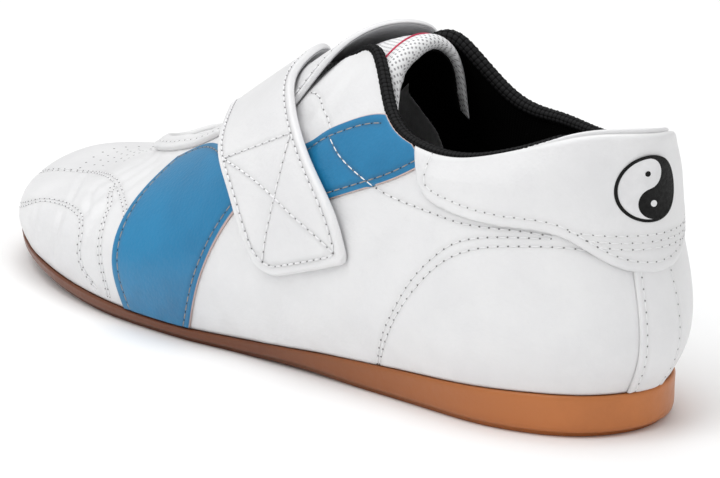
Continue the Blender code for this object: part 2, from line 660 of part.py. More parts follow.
def main():
    """Builds every piece of the shoe in one clean scene."""
    for item in list(bpy.data.objects):
        bpy.data.objects.remove(item, do_unlink=True)
    white = make_material("white_leather", (0.83, 0.83, 0.84), 0.38)
    blue = make_material("blue_leather", (0.02, 0.27, 0.58), 0.40)
    gum = make_material("gum_rubber", (0.45, 0.15, 0.04), 0.42)
    black = make_material("black_lining", (0.012, 0.012, 0.013), 0.90)
    mesh = make_material("white_mesh", (0.80, 0.80, 0.81), 0.75)
    last = Last()
    make_outsole(last, gum)
    make_insole(last, black)
    make_upper(last, white)
    make_tongue(last, mesh)
    make_heel_cuff(last, white)
    make_backstay(last, white)
    make_eyestay(last, white)
    for side in ("outer", "inner"):
        make_saddle(side, last, blue)
        make_facing(side, last, blue)
    make_ply("instep_band", last, BAND_ROWS, BAND_THICKNESS, BAND_STEPS, white)
    make_ply("strap", last, STRAP_ROWS, STRAP_THICKNESS, STRAP_STEPS, white)


main()
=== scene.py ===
"""Looks of a left taekwondo shoe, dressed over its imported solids.

Every leather piece is read from one last, drafted in millimetres as (along from the heel,
across towards the inner side, up) and set in metres in the frame of the solids: the toe
points to -X, the outer side of the foot faces -Y and the floor is z = 0.
"""

import logging
import math
from dataclasses import dataclass
from enum import Enum
from itertools import groupby

import bmesh
import bpy
import numpy as np
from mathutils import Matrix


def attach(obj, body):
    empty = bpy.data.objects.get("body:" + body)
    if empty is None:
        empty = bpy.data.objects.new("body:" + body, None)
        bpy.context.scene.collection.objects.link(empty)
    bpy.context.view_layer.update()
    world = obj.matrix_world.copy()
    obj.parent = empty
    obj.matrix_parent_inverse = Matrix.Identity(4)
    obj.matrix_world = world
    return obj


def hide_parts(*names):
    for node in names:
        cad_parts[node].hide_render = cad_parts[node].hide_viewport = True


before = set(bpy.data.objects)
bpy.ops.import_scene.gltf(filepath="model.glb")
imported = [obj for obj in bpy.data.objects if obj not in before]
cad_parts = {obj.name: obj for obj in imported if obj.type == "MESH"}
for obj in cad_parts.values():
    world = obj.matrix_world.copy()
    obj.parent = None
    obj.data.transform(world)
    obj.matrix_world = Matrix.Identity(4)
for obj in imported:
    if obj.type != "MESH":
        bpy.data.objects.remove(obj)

Array = np.ndarray
Path = tuple[Array, Array]
Colour = tuple[float, float, float]

log = logging.getLogger("shoe")

MM = 0.001
MIDDLE_ALONG = 136.03
MIDDLE_ACROSS = -2.03
DENSE_AROUND = 960
DENSE_RISE = 240
GAP = 0.3
OVERLAY = 1.1
TROUGH_WIDTH = 0.8
# Width of the painted shade beside a sewn row, millimetres.
SEAM_SHADE_WIDTH = 0.9
TOE_SECTION = 14

# Sections of the last: rim (along, across), belly (out, up), shoulder and top points
SECTIONS = np.array((
    (8.0, -1.0, 4.5, 21.0, 9.8, -1.0, 60.0, 9.0, -1.0, 83.6),
    (14.4, -19.6, 3.4, 23.0, 15.8, -18.4, 60.0, 16.0, -14.4, 84.0),
    (33.0, -31.0, 3.5, 28.0, 33.0, -30.8, 57.0, 27.0, -22.5, 80.2),
    (62.0, -35.4, 3.5, 27.0, 62.0, -35.8, 52.0, 52.0, -27.5, 72.0),
    (90.0, -37.6, 3.0, 25.0, 86.0, -37.0, 53.0, 72.0, -28.0, 71.5),
    (108.0, -39.4, 2.5, 23.0, 102.0, -37.0, 56.0, 88.0, -24.0, 76.5),
    (120.0, -40.6, 2.0, 22.0, 114.0, -34.0, 60.0, 104.0, -15.0, 88.0),
    (133.0, -42.0, 2.0, 21.0, 127.0, -32.0, 60.0, 112.0, -12.8, 88.0),
    (150.0, -45.0, 1.5, 19.0, 147.0, -31.0, 53.0, 133.0, -13.8, 75.0),
    (172.0, -47.0, 1.0, 17.0, 169.0, -29.0, 44.5, 160.0, -13.4, 60.0),
    (199.0, -46.2, 1.0, 16.0, 194.0, -27.0, 36.0, 186.0, -11.0, 46.6),
    (226.0, -40.6, 0.3, 14.5, 214.0, -24.0, 31.4, 200.0, -8.0, 41.2),
    (250.0, -29.4, -0.6, 14.0, 230.5, -16.5, 28.4, 206.5, -4.5, 39.0),
    (264.0, -15.8, -1.2, 15.4, 238.0, -6.5, 27.6, 208.8, -1.0, 38.2),
    (271.5, 5.0, -1.4, 17.0, 240.0, 4.0, 27.8, 209.3, 2.0, 38.0),
    (266.5, 22.5, -1.2, 15.8, 237.0, 12.5, 27.8, 208.5, 5.0, 38.2),
    (251.0, 36.0, -0.6, 14.6, 229.5, 21.0, 29.0, 206.0, 8.5, 39.2),
    (228.0, 43.2, 0.3, 15.0, 215.0, 27.5, 32.6, 199.5, 11.0, 41.4),
    (200.0, 42.6, 1.0, 17.0, 194.0, 28.5, 38.0, 186.0, 13.0, 46.6),
    (172.0, 37.5, 1.5, 18.0, 168.0, 27.5, 45.5, 160.0, 14.4, 60.0),
    (148.0, 32.0, 2.5, 20.0, 146.0, 27.5, 54.0, 134.0, 14.6, 75.0),
    (131.0, 29.5, 3.0, 22.0, 127.0, 27.5, 60.0, 112.0, 13.2, 88.0),
    (118.0, 29.0, 3.5, 23.0, 113.0, 29.0, 61.0, 104.0, 15.4, 88.0),
    (106.0, 28.8, 4.0, 24.0, 101.0, 31.0, 57.0, 90.0, 22.0, 74.4),
    (88.0, 29.0, 4.0, 25.0, 84.0, 32.0, 54.0, 74.0, 25.6, 70.2),
    (62.0, 30.0, 3.5, 27.0, 62.0, 31.5, 53.0, 54.0, 25.8, 69.0),
    (33.0, 27.0, 3.2, 28.0, 33.0, 28.0, 57.0, 28.0, 21.0, 75.2),
    (16.0, 16.0, 3.6, 23.0, 17.0, 15.6, 60.0, 16.8, 12.6, 80.2),
))
LAST_SECTION = len(SECTIONS)

# Sole rim: along, height, tuck of the tread
RIM_PROFILE = np.array((
    (4.0, 11.7, 2.0),
    (23.0, 11.7, 1.0),
    (40.0, 10.8, 0.6),
    (62.0, 9.4, 0.6),
    (90.0, 7.8, 0.6),
    (108.0, 6.5, 0.6),
    (133.0, 4.6, 0.6),
    (172.0, 3.9, 0.6),
    (199.0, 4.8, 0.6),
    (228.0, 6.7, 0.6),
    (250.0, 8.8, 0.9),
    (272.0, 11.7, 1.2),
))

# Heel cuff: section and height of its lower edge, section of its upper edge
CUFF_EDGE = np.array((
    (0.00, 45.0, 0.00),
    (0.70, 49.0, 0.70),
    (1.30, 56.0, 1.30),
    (2.00, 57.0, 2.02),
    (2.60, 57.4, 2.75),
    (3.05, 59.0, 3.45),
    (3.35, 62.4, 3.95),
))

# Tongue: section and rise of its edge and of its fold at the throat, then its crest
TONGUE_ROWS = (
    (12.2, 0.91, 13.2, 0.91, 213.5, 32.2),
    (11.0, 0.86, 11.0, 0.97, 197.5, 38.6),
    (10.0, 0.80, 10.0, 0.97, 184.0, 46.6),
    (9.0, 0.80, 9.0, 0.97, 158.0, 63.4),
    (8.0, 0.80, 8.0, 0.97, 132.0, 78.4),
    (7.0, 0.80, 7.0, 0.97, 112.0, 89.0),
)
TONGUE_RIM_LINE = (
    (93.5, -17.5, 74.0),
    (97.5, -15.0, 86.0),
    (99.5, 0.0, 92.5),
    (102.5, 14.2, 83.5),
    (103.5, 18.6, 64.0),
)


class Side(Enum):
    """The two sides of the foot, and a stretch that hangs free between them."""

    OUTER = "outer"
    INNER = "inner"
    FREE = "free"


# Strap and band: where, front edge (along, across, up), rear edge, lift off the upper
PlyRow = tuple[Side, tuple[float, float, float], tuple[float, float, float], float]
STRAP_ROWS: tuple[PlyRow, ...] = (
    (Side.OUTER, (119.0, 0.0, 25.8), (85.5, 0.0, 37.0), 0.4),
    (Side.OUTER, (128.0, 0.0, 37.4), (91.5, 0.0, 49.0), 1.8),
    (Side.OUTER, (137.5, 0.0, 46.8), (104.0, 0.0, 59.4), 2.8),
    (Side.OUTER, (151.5, 0.0, 52.8), (123.0, 0.0, 70.2), 3.1),
    (Side.FREE, (170.5, -13.0, 57.3), (137.0, -14.0, 78.2), 0.0),
    (Side.FREE, (183.5, 0.0, 53.6), (144.0, 0.0, 79.4), 0.0),
    (Side.INNER, (187.0, 0.0, 41.0), (158.0, 0.0, 57.0), 3.0),
    (Side.INNER, (186.0, 0.0, 29.0), (158.0, 0.0, 38.0), 1.9),
    (Side.INNER, (184.0, 0.0, 19.0), (157.0, 0.0, 22.0), 1.9),
)
BAND_ROWS: tuple[PlyRow, ...] = (
    (Side.OUTER, (151.0, 0.0, 56.0), (130.0, 0.0, 63.0), 0.4),
    (Side.OUTER, (149.0, 0.0, 60.5), (127.5, 0.0, 71.0), 0.4),
    (Side.FREE, (143.0, -10.0, 73.4), (121.5, -11.0, 86.6), 0.0),
    (Side.FREE, (141.0, 1.0, 75.9), (116.5, 1.0, 91.5), 0.0),
    (Side.FREE, (142.0, 12.0, 72.6), (113.5, 13.0, 88.8), 0.0),
    (Side.INNER, (147.0, 0.0, 60.0), (122.0, 0.0, 71.0), 0.4),
    (Side.INNER, (148.0, 0.0, 55.0), (124.0, 0.0, 63.0), 0.4),
)


def spline(knots: Array, rows: Array, at: Array, period: float | None = None) -> Array:
    """Cubic spline with continuous curvature through rows, open or closed.

    Args:
        knots: Rising places of the rows.
        rows: Values at the knots, one row each.
        at: Places to read.
        period: Length after which a closed spline repeats, or None for an open one.

    Returns:
        One row of values for each place.
    """
    knots, rows, at = (np.asarray(part, float) for part in (knots, rows, at))
    count = len(knots)
    index = np.arange(count)
    if period is None:
        step = np.diff(knots)
        slope = np.diff(rows, axis=0) / step[:, None]
        system = np.eye(count)
        inner = index[1:-1]
        system[inner, inner - 1] = step[:-1]
        system[inner, inner] = 2 * (step[:-1] + step[1:])
        system[inner, inner + 1] = step[1:]
        load = np.zeros_like(rows)
        load[1:-1] = 6 * np.diff(slope, axis=0)
        spot = np.clip(at, knots[0], knots[-1])
    else:
        step = np.diff(np.append(knots, knots[0] + period))
        slope = (np.roll(rows, -1, 0) - rows) / step[:, None]
        before = np.roll(step, 1)
        system = np.zeros((count, count))
        system[index, index] = 2 * (before + step)
        system[index, index - 1] += before
        system[index, (index + 1) % count] += step
        load = 6 * (slope - np.roll(slope, 1, 0))
        spot = knots[0] + np.mod(at - knots[0], period)
    bend = np.linalg.solve(system, load)
    cell = np.clip(np.searchsorted(knots, spot, side="right") - 1, 0, len(step) - 1)
    after = (cell + 1) % count
    width = step[cell][:, None]
    part = (spot - knots[cell])[:, None] / width
    rest = 1 - part
    bow = ((rest ** 3 - rest) * bend[cell] + (part ** 3 - part) * bend[after]) * width ** 2 / 6
    return rest * rows[cell] + part * rows[after] + bow


def unit(vectors: Array) -> Array:
    """Vectors scaled to length one."""
    return vectors / np.maximum(np.linalg.norm(vectors, axis=-1, keepdims=True), 1e-12)


def totals(steps: Array) -> Array:
    """Running totals of steps, from 0."""
    return np.concatenate([[0], np.cumsum(steps)])


def run_of(points: Array) -> Array:
    """Length walked along a polyline at each of its points."""
    return totals(np.linalg.norm(np.diff(points, axis=0), axis=1))


def lengths(grid: Array, axis: int) -> Array:
    """Lengths of a grid's lines of points along one of its two directions."""
    return np.linalg.norm(np.diff(grid, axis=axis), axis=2).sum(axis=axis)


def chord(points: Array) -> Array:
    """Shares of a polyline's length at its points, from 0 to 1."""
    run = run_of(points)
    return run / run[-1]


def soften(path: Array, reach: int = 6) -> Array:
    """A path whose points are averaged with their neighbours, while both ends stay in place."""
    weight = np.hanning(2 * reach + 3)[1:-1]
    padded = np.concatenate([2 * path[0] - path[reach:0:-1], path, 2 * path[-1] - path[-2:-reach - 2:-1]])
    columns = [np.convolve(column, weight / weight.sum(), "valid") for column in padded.T]
    return np.column_stack(columns)


def curve(points: Array, count: int) -> Array:
    """A smooth curve through points, read at equal shares of their chords."""
    points = np.asarray(points, float)
    return spline(chord(points), points, np.linspace(0, 1, count))


def ease(count: int, pull: float = 0.6) -> Array:
    """Shares from 0 to 1 that crowd towards both ends: a blend of even and cosine steps."""
    even = np.linspace(0, 1, count)
    return (1 - pull) * even + pull * (0.5 - 0.5 * np.cos(math.pi * even))


def place(draft: Array) -> Array:
    """Draft points in millimetres, set in the frame of the solids in metres."""
    along, across, up = np.moveaxis(np.asarray(draft, float), -1, 0)
    return np.stack([MIDDLE_ALONG - along, across - MIDDLE_ACROSS, up], -1) * MM


def rim_up(along: Array) -> Array:
    """Height of the sole's top edge at places along the foot."""
    return spline(RIM_PROFILE[:, 0], RIM_PROFILE[:, 1:2], along)[:, 0]


def outward(outline: Array) -> Array:
    """Plan normals of a closed outline that runs heel, outer side, toe."""
    tangent = np.roll(outline, -1, 0) - np.roll(outline, 1, 0)
    return unit(np.stack([tangent[:, 1], -tangent[:, 0]], -1))


def distance_to(points: Array, path: Array) -> Array:
    """Distance from points to a polyline: the least over its segments.

    Args:
        points: Points of any grid, metres.
        path: The polyline's corners, metres.

    Returns:
        Distances in the shape of the grid.
    """
    best = np.full(points.shape[:-1], np.inf)
    for first, second in zip(path[:-1], path[1:]):
        way = second - first
        share = np.clip(((points - first) @ way) / max(way @ way, 1e-18), 0, 1)
        best = np.minimum(best, np.linalg.norm(points - first - share[..., None] * way, axis=-1))
    return best


def row_distance(grid: Array, rows: list[Path], stride: int) -> Array:
    """Millimetres from a grid's points to the nearest sewn row, by every stride-th point of the rows."""
    return np.min([distance_to(grid, points[::stride]) / MM for points, _ in rows], axis=0)


def bell(away: Array, width: float) -> Array:
    """A bell-shaped share by distance: one in the middle, under a fiftieth two widths off."""
    return np.exp(-(away / width) ** 2)


def rolled(inside: Array, roll: float, foot: float) -> Array:
    """Share of a slab's thickness by distance from its border: a foot, then a quarter circle up to one."""
    bend = np.clip(1 - inside / roll, 0, 1)
    return foot + (1 - foot) * np.sqrt(1 - bend ** 2)


def circle(count: int) -> Array:
    """Angles in equal steps round a circle."""
    return np.arange(count) / count * 2 * math.pi


def read_path(at: Array, run: Array, values: Array) -> Array:
    """Values along a path, read at lengths walked."""
    return np.stack([np.interp(at, run, column) for column in values.T], -1)


def rings_round(normals: Array, hint: tuple[float, float, float], radius: float, sides: int) -> Array:
    """A ring of points round each normal, as steps in metres from its middle.

    Args:
        normals: Axes of the rings.
        hint: A direction that no normal shares, from which the ring's first point is turned.
        radius: Radius, millimetres.
        sides: Points in a ring.

    Returns:
        One row of steps for each normal.
    """
    ahead = unit(np.cross(normals, np.broadcast_to(hint, normals.shape)))
    beside = np.cross(normals, ahead)
    turn = circle(sides)[:, None]
    return (np.cos(turn) * ahead[:, None] + np.sin(turn) * beside[:, None]) * radius * MM


def level(first: Array, second: float) -> Array:
    """Places whose first value varies while the second stays."""
    return np.column_stack([first, np.full(first.shape, second)])


def link(name: str, data: bpy.types.ID) -> bpy.types.Object:
    """A new object in the scene."""
    thing = bpy.data.objects.new(name, data)
    bpy.context.scene.collection.objects.link(thing)
    return thing


@dataclass
class Sheet:
    """A surface kept as a dense grid of points and normals, read at any (u, v) from 0 to 1."""

    points: Array
    normals: Array
    wrapped: bool = False

    def read(self, grid: Array, u: Array, v: Array) -> Array:
        """A grid of values read between its points, in straight shares of the four nearest.

        Args:
            grid: Values on the sheet's own grid.
            u: Places along the first direction, which repeats on a wrapped sheet.
            v: Places along the second direction.

        Returns:
            Values at the places.
        """
        rows, columns = grid.shape[:2]
        last_row = rows if self.wrapped else rows - 1
        across = (np.mod(u, 1.0) if self.wrapped else np.clip(u, 0, 1)) * last_row
        upward = np.clip(v, 0, 1) * (columns - 1)
        low = np.minimum(np.floor(across).astype(int), last_row - 1)
        base = np.minimum(np.floor(upward).astype(int), columns - 2)
        part = (across - low)[..., None]
        share = (upward - base)[..., None]
        high = (low + 1) % rows
        first = (1 - share) * grid[low, base] + share * grid[low, base + 1]
        second = (1 - share) * grid[high, base] + share * grid[high, base + 1]
        return (1 - part) * first + part * second

    def skin(self, u: Array, v: Array, lift: Array | float = 0.0) -> Array:
        """Points moved off the sheet along its normal by lift metres."""
        u, v, lift = np.broadcast_arrays(np.asarray(u, float), v, lift)
        return self.read(self.points, u, v) + self.facing(u, v) * lift[..., None]

    def facing(self, u: Array, v: Array) -> Array:
        """Normals at places on the sheet."""
        u, v = np.broadcast_arrays(np.asarray(u, float), v)
        return unit(self.read(self.normals, u, v))

    def path(self, u: Array, v: Array, lift: Array | float) -> Path:
        """Points moved off the sheet by lift metres, and the normals there."""
        return self.skin(u, v, lift), self.facing(u, v)


@dataclass(frozen=True)
class Crease:
    """A soft fold in the leather: a trough along a line of (section, rise), with low banks."""

    line: tuple[tuple[float, float], ...]
    depth: float
    width: float
    bank: float = 0.35

    BANK_AWAY = 2.1

    def relief(self, away: Array) -> Array:
        """Height by distance: a bell-shaped trough and a bank two widths off, millimetres."""
        bank = bell(away - self.BANK_AWAY * self.width, self.width)
        return self.depth * (self.bank * bank - bell(away, self.width))


CREASES = (
    Crease(((9.9, 0.20), (10.05, 0.45), (10.2, 0.72)), 0.55, 2.6),
    Crease(((10.35, 0.30), (10.45, 0.52), (10.6, 0.80)), 0.42, 2.2),
    Crease(((10.9, 0.50), (11.05, 0.68), (11.3, 0.85)), 0.30, 2.2),
    Crease(((17.6, 0.20), (17.75, 0.50), (17.6, 0.78)), 0.50, 2.6),
    Crease(((17.2, 0.30), (17.3, 0.55), (17.2, 0.80)), 0.38, 2.2),
    Crease(((6.55, 0.94), (6.2, 0.80), (5.9, 0.62)), 0.60, 3.4),
    Crease(((7.1, 0.97), (6.95, 0.86), (6.7, 0.72)), 0.50, 2.6),
    Crease(((21.4, 0.95), (21.7, 0.80), (22.1, 0.62)), 0.60, 3.4),
    Crease(((3.9, 0.12), (3.75, 0.30), (3.45, 0.46)), 0.55, 4.5),
    Crease(((5.9, 0.05), (5.6, 0.16), (5.0, 0.24)), 0.40, 3.0),
    Crease(((24.1, 0.12), (24.25, 0.30), (24.5, 0.46)), 0.55, 4.5),
    Crease(((7.4, 0.10), (7.2, 0.24), (6.6, 0.34)), 0.40, 3.2),
    Crease(((2.6, 0.30), (1.9, 0.38), (1.2, 0.34)), 0.40, 5.0),
    Crease(((11.91, 0.475), (11.22, 0.433), (10.88, 0.371)), 0.46, 1.1),
    Crease(((10.86, 0.504), (10.43, 0.408), (10.22, 0.354)), 0.40, 1.1),
    Crease(((10.80, 0.308), (10.59, 0.208), (10.67, 0.079)), 0.38, 1.3),
    Crease(((11.25, 0.221), (11.12, 0.158), (11.12, 0.096)), 0.36, 1.1),
)

# Fuller places: broad swells along a line, which are creases turned inside out
SWELLS = (
    Crease(((11.4, 0.20), (12.4, 0.27), (13.2, 0.30), (14.0, 0.31), (14.8, 0.30), (15.6, 0.27), (16.6, 0.20)),
           -1.8, 9.0, 0.0),
    Crease(((12.0, 0.09), (13.0, 0.11), (14.0, 0.11), (15.0, 0.11), (16.0, 0.09)), -1.1, 7.0, 0.0),
    Crease(((14.0, 0.62), (14.0, 0.80), (14.0, 1.0)), -1.5, 13.0, 0.0),
    Crease(((10.4, 1.0), (11.2, 1.0), (12.0, 1.0)), -1.8, 7.0, 0.0),
    Crease(((17.6, 1.0), (16.8, 1.0), (16.0, 1.0)), -1.8, 7.0, 0.0),
)


class Last:
    """The foot's form: sections around the foot, joined by a closed spline.

    Each section is a curve through its foot, belly, shoulder and top points.
    """

    FOOT_INSET = 0.9

    def __init__(self) -> None:
        """Joins the sections, then adds the creases and swells of the worn leather."""
        rim, top = SECTIONS[:, :2], SECTIONS[:, 7:10]
        normal = outward(rim)
        self.rim = rim
        self.knots = self.spread(rim, top)
        foot_plan = rim - self.FOOT_INSET * normal
        foot = np.column_stack([foot_plan, rim_up(foot_plan[:, 0]) + GAP])
        belly = np.column_stack([rim + SECTIONS[:, 2:3] * normal, SECTIONS[:, 3]])
        corners = np.stack([foot, belly, SECTIONS[:, 4:7], top], 1)
        self.rises = np.linspace(0, 1, DENSE_RISE + 1)
        flat = np.array([self.profile(points) for points in corners]).reshape(LAST_SECTION, -1)
        around = np.arange(DENSE_AROUND) / DENSE_AROUND
        self.draft = spline(self.knots, flat, around, 1.0).reshape(DENSE_AROUND, DENSE_RISE + 1, 3)
        self.draft[:, 0, 2] = rim_up(self.draft[:, 0, 0]) + GAP
        self.bare = self.sheet(place(self.draft))
        self.worn = self.sheet(self.bare.points + self.bare.normals * self.relief()[..., None])

    @staticmethod
    def spread(rim: Array, top: Array) -> Array:
        """Places of the sections around the last: heel at 0, toe at a half, by mean distance."""
        pace = np.linalg.norm(np.roll(rim, -1, 0) - rim, axis=1)
        pace = pace + np.linalg.norm(np.roll(top, -1, 0) - top, axis=1)
        outer, inner = totals(pace[:TOE_SECTION]), totals(pace[TOE_SECTION:])
        return np.concatenate([0.5 * outer / outer[-1], 0.5 + 0.5 * inner[1:-1] / inner[-1]])

    def profile(self, points: Array) -> Array:
        """A section's curve from foot to top, by share of its length."""
        knots = chord(points)
        fine = np.linspace(0, 1, 4 * len(self.rises))
        return spline(knots, points, np.interp(self.rises, chord(spline(knots, points, fine)), fine))

    @staticmethod
    def sheet(points: Array) -> Sheet:
        """A wrapped sheet with normals from its two slopes."""
        along_around = np.roll(points, -1, 0) - np.roll(points, 1, 0)
        along_rise = np.gradient(points, axis=1)
        return Sheet(points, unit(np.cross(along_rise, along_around)), wrapped=True)

    def relief(self) -> Array:
        """Height of all creases and swells over the last.

        Returns:
            Metres off the bare sheet, for each of its points.
        """
        height = np.zeros(self.bare.points.shape[:2])
        for crease in CREASES + SWELLS:
            line = np.array(crease.line)
            path = curve(self.bare.skin(self.around(line[:, 0]), line[:, 1]), 14)
            height += crease.relief(distance_to(self.bare.points, path) / MM) * MM
        return height

    def around(self, section: Array) -> Array:
        """Place around the last of a section number; below 0 it is the inner side."""
        knots = np.concatenate([self.knots - 1, self.knots, self.knots + 1])
        return np.interp(section, np.arange(-LAST_SECTION, 2 * LAST_SECTION), knots)

    def trace(self, line: tuple[tuple[float, float], ...], count: int = 160) -> tuple[Array, Array]:
        """A smooth path of (around, rise) through places (section, rise).

        The places are joined by a spline over the real lengths between them, and each point is then
        averaged with its neighbours.

        Args:
            line: Places (section, rise).
            count: Number of points.

        Returns:
            Around and rise of the points.
        """
        spots = np.array(line, float)
        spots[:, 0] = self.around(spots[:, 0])
        knots = chord(self.worn.skin(spots[:, 0], spots[:, 1]))
        return tuple(soften(spline(knots, spots, np.linspace(0, 1, count))).T)

    def rise_at(self, around: Array, up: Array) -> Array:
        """Rise at which each place around the last reaches a draft height."""
        heights = self.bare.read(self.draft, around[:, None], self.rises[None, :])[..., 2]
        return self.rises[np.argmin(np.abs(heights - up[:, None]), axis=1)]

    def rise_below_top(self, around: Array, width: float) -> Array:
        """Rise that lies a width in millimetres under the top edge, along the wall."""
        lines = self.bare.read(self.draft, around[:, None], self.rises[None, :])
        return 1 - width / lengths(lines, 1)

    def locate(self, side: Side, along: Array, up: Array) -> tuple[Array, Array]:
        """Places on one side from their side view, by the nearest point and Newton steps.

        Args:
            side: Outer or inner side.
            along: Distances from the heel, millimetres.
            up: Heights, millimetres.

        Returns:
            Places around the last and their rises.
        """
        stride = 4
        half = DENSE_AROUND // 2
        first = 0 if side is Side.OUTER else half
        coarse = self.draft[first:first + half:stride, ::stride][..., [0, 2]]
        target = np.stack([np.ravel(along), np.ravel(up)], -1)
        miss = ((coarse[None] - target[:, None, None]) ** 2).sum(-1).reshape(len(target), -1)
        row, col = np.unravel_index(np.argmin(miss, axis=1), coarse.shape[:2])
        around = (first + row * stride) / DENSE_AROUND
        rise = col * stride / DENSE_RISE
        nudge = 1 / DENSE_AROUND
        for _ in range(8):
            here = self.bare.read(self.draft, around, rise)[:, [0, 2]]
            lean = np.where(rise > 0.5, -1, 1) / DENSE_RISE
            by_around = (self.bare.read(self.draft, around + nudge, rise)[:, [0, 2]] - here) / nudge
            by_rise = (self.bare.read(self.draft, around, rise + lean)[:, [0, 2]] - here) / lean[:, None]
            step = np.linalg.solve(np.stack([by_around, by_rise], -1), (target - here)[..., None])[..., 0]
            around = around + np.clip(step[:, 0], -0.01, 0.01)
            rise = np.clip(rise + np.clip(step[:, 1], -0.04, 0.04), 0, 1)
        return around.reshape(np.shape(along)), rise.reshape(np.shape(along))


def quads(rows: int, columns: int, wrap_rows: bool = False, wrap_columns: bool = False) -> Array:
    """Corner numbers of a grid's quads, row by row.

    Args:
        rows: Number of rows.
        columns: Number of points in a row.
        wrap_rows: Whether the last row is joined to the first.
        wrap_columns: Whether each row is closed.

    Returns:
        Four corner numbers for each quad.
    """
    row = np.arange(rows if wrap_rows else rows - 1)[:, None]
    col = np.arange(columns if wrap_columns else columns - 1)[None, :]
    below, above = row * columns, ((row + 1) % rows) * columns
    beside = (col + 1) % columns
    return np.stack([below + col, below + beside, above + beside, above + col], -1).reshape(-1, 4)


class Finishable:
    """Turns arrays into closed meshes that ride on the shoe's one body."""

    MERGE = 1e-6

    @classmethod
    def add(cls, name: str, points: Array, faces: list, material: bpy.types.Material,
            uv: Array | None = None, seam: Array | None = None) -> bpy.types.Object:
        """A closed piece with faces turned outwards, shaded smooth.

        Args:
            name: The piece's name.
            points: Corners, metres.
            faces: Corner numbers of each face.
            material: The finish.
            uv: Places on the cloth in metres for each corner.
            seam: Nearness of each corner to a sewn row, from 0 to 1, where the leather gets painted shade, or
                to a cut edge, from 0 to -1.

        Returns:
            The new object.
        """
        mesh = bpy.data.meshes.new(name)
        mesh.from_pydata(points.reshape(-1, 3).tolist(), [], faces)
        if seam is not None:
            layer = mesh.attributes.new("seam", "FLOAT", "POINT")
            layer.data.foreach_set("value", np.ravel(seam).astype(np.float32))
        if uv is not None:
            corners = np.zeros(len(mesh.loops), np.int32)
            mesh.loops.foreach_get("vertex_index", corners)
            layer = mesh.uv_layers.new(name="cloth")
            layer.data.foreach_set("uv", uv.reshape(-1, 2)[corners].astype(np.float32).ravel())
        body = bmesh.new()
        body.from_mesh(mesh)
        bmesh.ops.remove_doubles(body, verts=body.verts, dist=cls.MERGE)
        bmesh.ops.recalc_face_normals(body, faces=body.faces)
        body.to_mesh(mesh)
        body.free()
        mesh.materials.append(material)
        mesh.shade_smooth()
        piece = link(name, mesh)
        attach(piece, "root")
        log.info("%s: %d faces", name, len(mesh.polygons))
        return piece

    @classmethod
    def slab(cls, name: str, under: Array, over: Array, material: bpy.types.Material,
             uv: Array | None = None, seam: Array | None = None) -> bpy.types.Object:
        """A sheet between two grids of points, closed along its border.

        Args:
            name: The piece's name.
            under: Grid of the underside.
            over: Grid of the top side.
            material: The finish.
            uv: Places on the cloth for the grid.
            seam: Nearness to a sewn row for the grid.

        Returns:
            The new object.
        """
        rows, columns = under.shape[:2]
        offset = rows * columns
        field = np.arange(offset).reshape(rows, columns)
        border = np.concatenate([field[0], field[1:, -1], field[-1, -2::-1], field[-2:0:-1, 0]])
        after = np.roll(border, -1)
        wall = np.stack([border, after, after + offset, border + offset], -1)
        flat = quads(rows, columns)
        faces = np.concatenate([flat[:, ::-1], flat + offset, wall]).tolist()
        twice = [None if part is None else np.concatenate([part, part]) for part in (uv, seam)]
        return cls.add(name, np.concatenate([under, over]), faces, material, *twice)

    @classmethod
    def loft(cls, name: str, rings: Array, material: bpy.types.Material, capped: bool = False,
             joined: bool = False, uv: Array | None = None, seam: Array | None = None) -> bpy.types.Object:
        """A row of closed rings joined to each other.

        Args:
            name: The piece's name.
            rings: Grid of points, one ring for each row.
            material: The finish.
            capped: Whether the first and the last ring get a flat face.
            joined: Whether the last ring is joined to the first.
            uv: Places on the cloth for the grid.
            seam: Nearness to a sewn row for the grid.

        Returns:
            The new object.
        """
        rows, columns = rings.shape[:2]
        faces = quads(rows, columns, joined, True).tolist()
        if capped:
            faces += [list(range(columns)), list(range((rows - 1) * columns, rows * columns))]
        return cls.add(name, rings, faces, material, uv, seam)

    @classmethod
    def swarm(cls, name: str, parts: Array, rings: int, material: bpy.types.Material) -> bpy.types.Object:
        """Many small capped tubes, all alike, as one piece.

        Args:
            name: The piece's name.
            parts: Corners of each tube, ring after ring.
            rings: Number of rings in a tube.
            material: The finish.

        Returns:
            The new object.
        """
        corners = parts.shape[1]
        sides = corners // rings
        start = np.arange(len(parts))[:, None, None] * corners
        walls = quads(rings, sides, wrap_columns=True)[None] + start
        ends = np.stack([np.arange(sides), np.arange(corners - sides, corners)])[None] + start
        faces = walls.reshape(-1, 4).tolist() + ends.reshape(-1, sides).tolist()
        return cls.add(name, parts, faces, material)


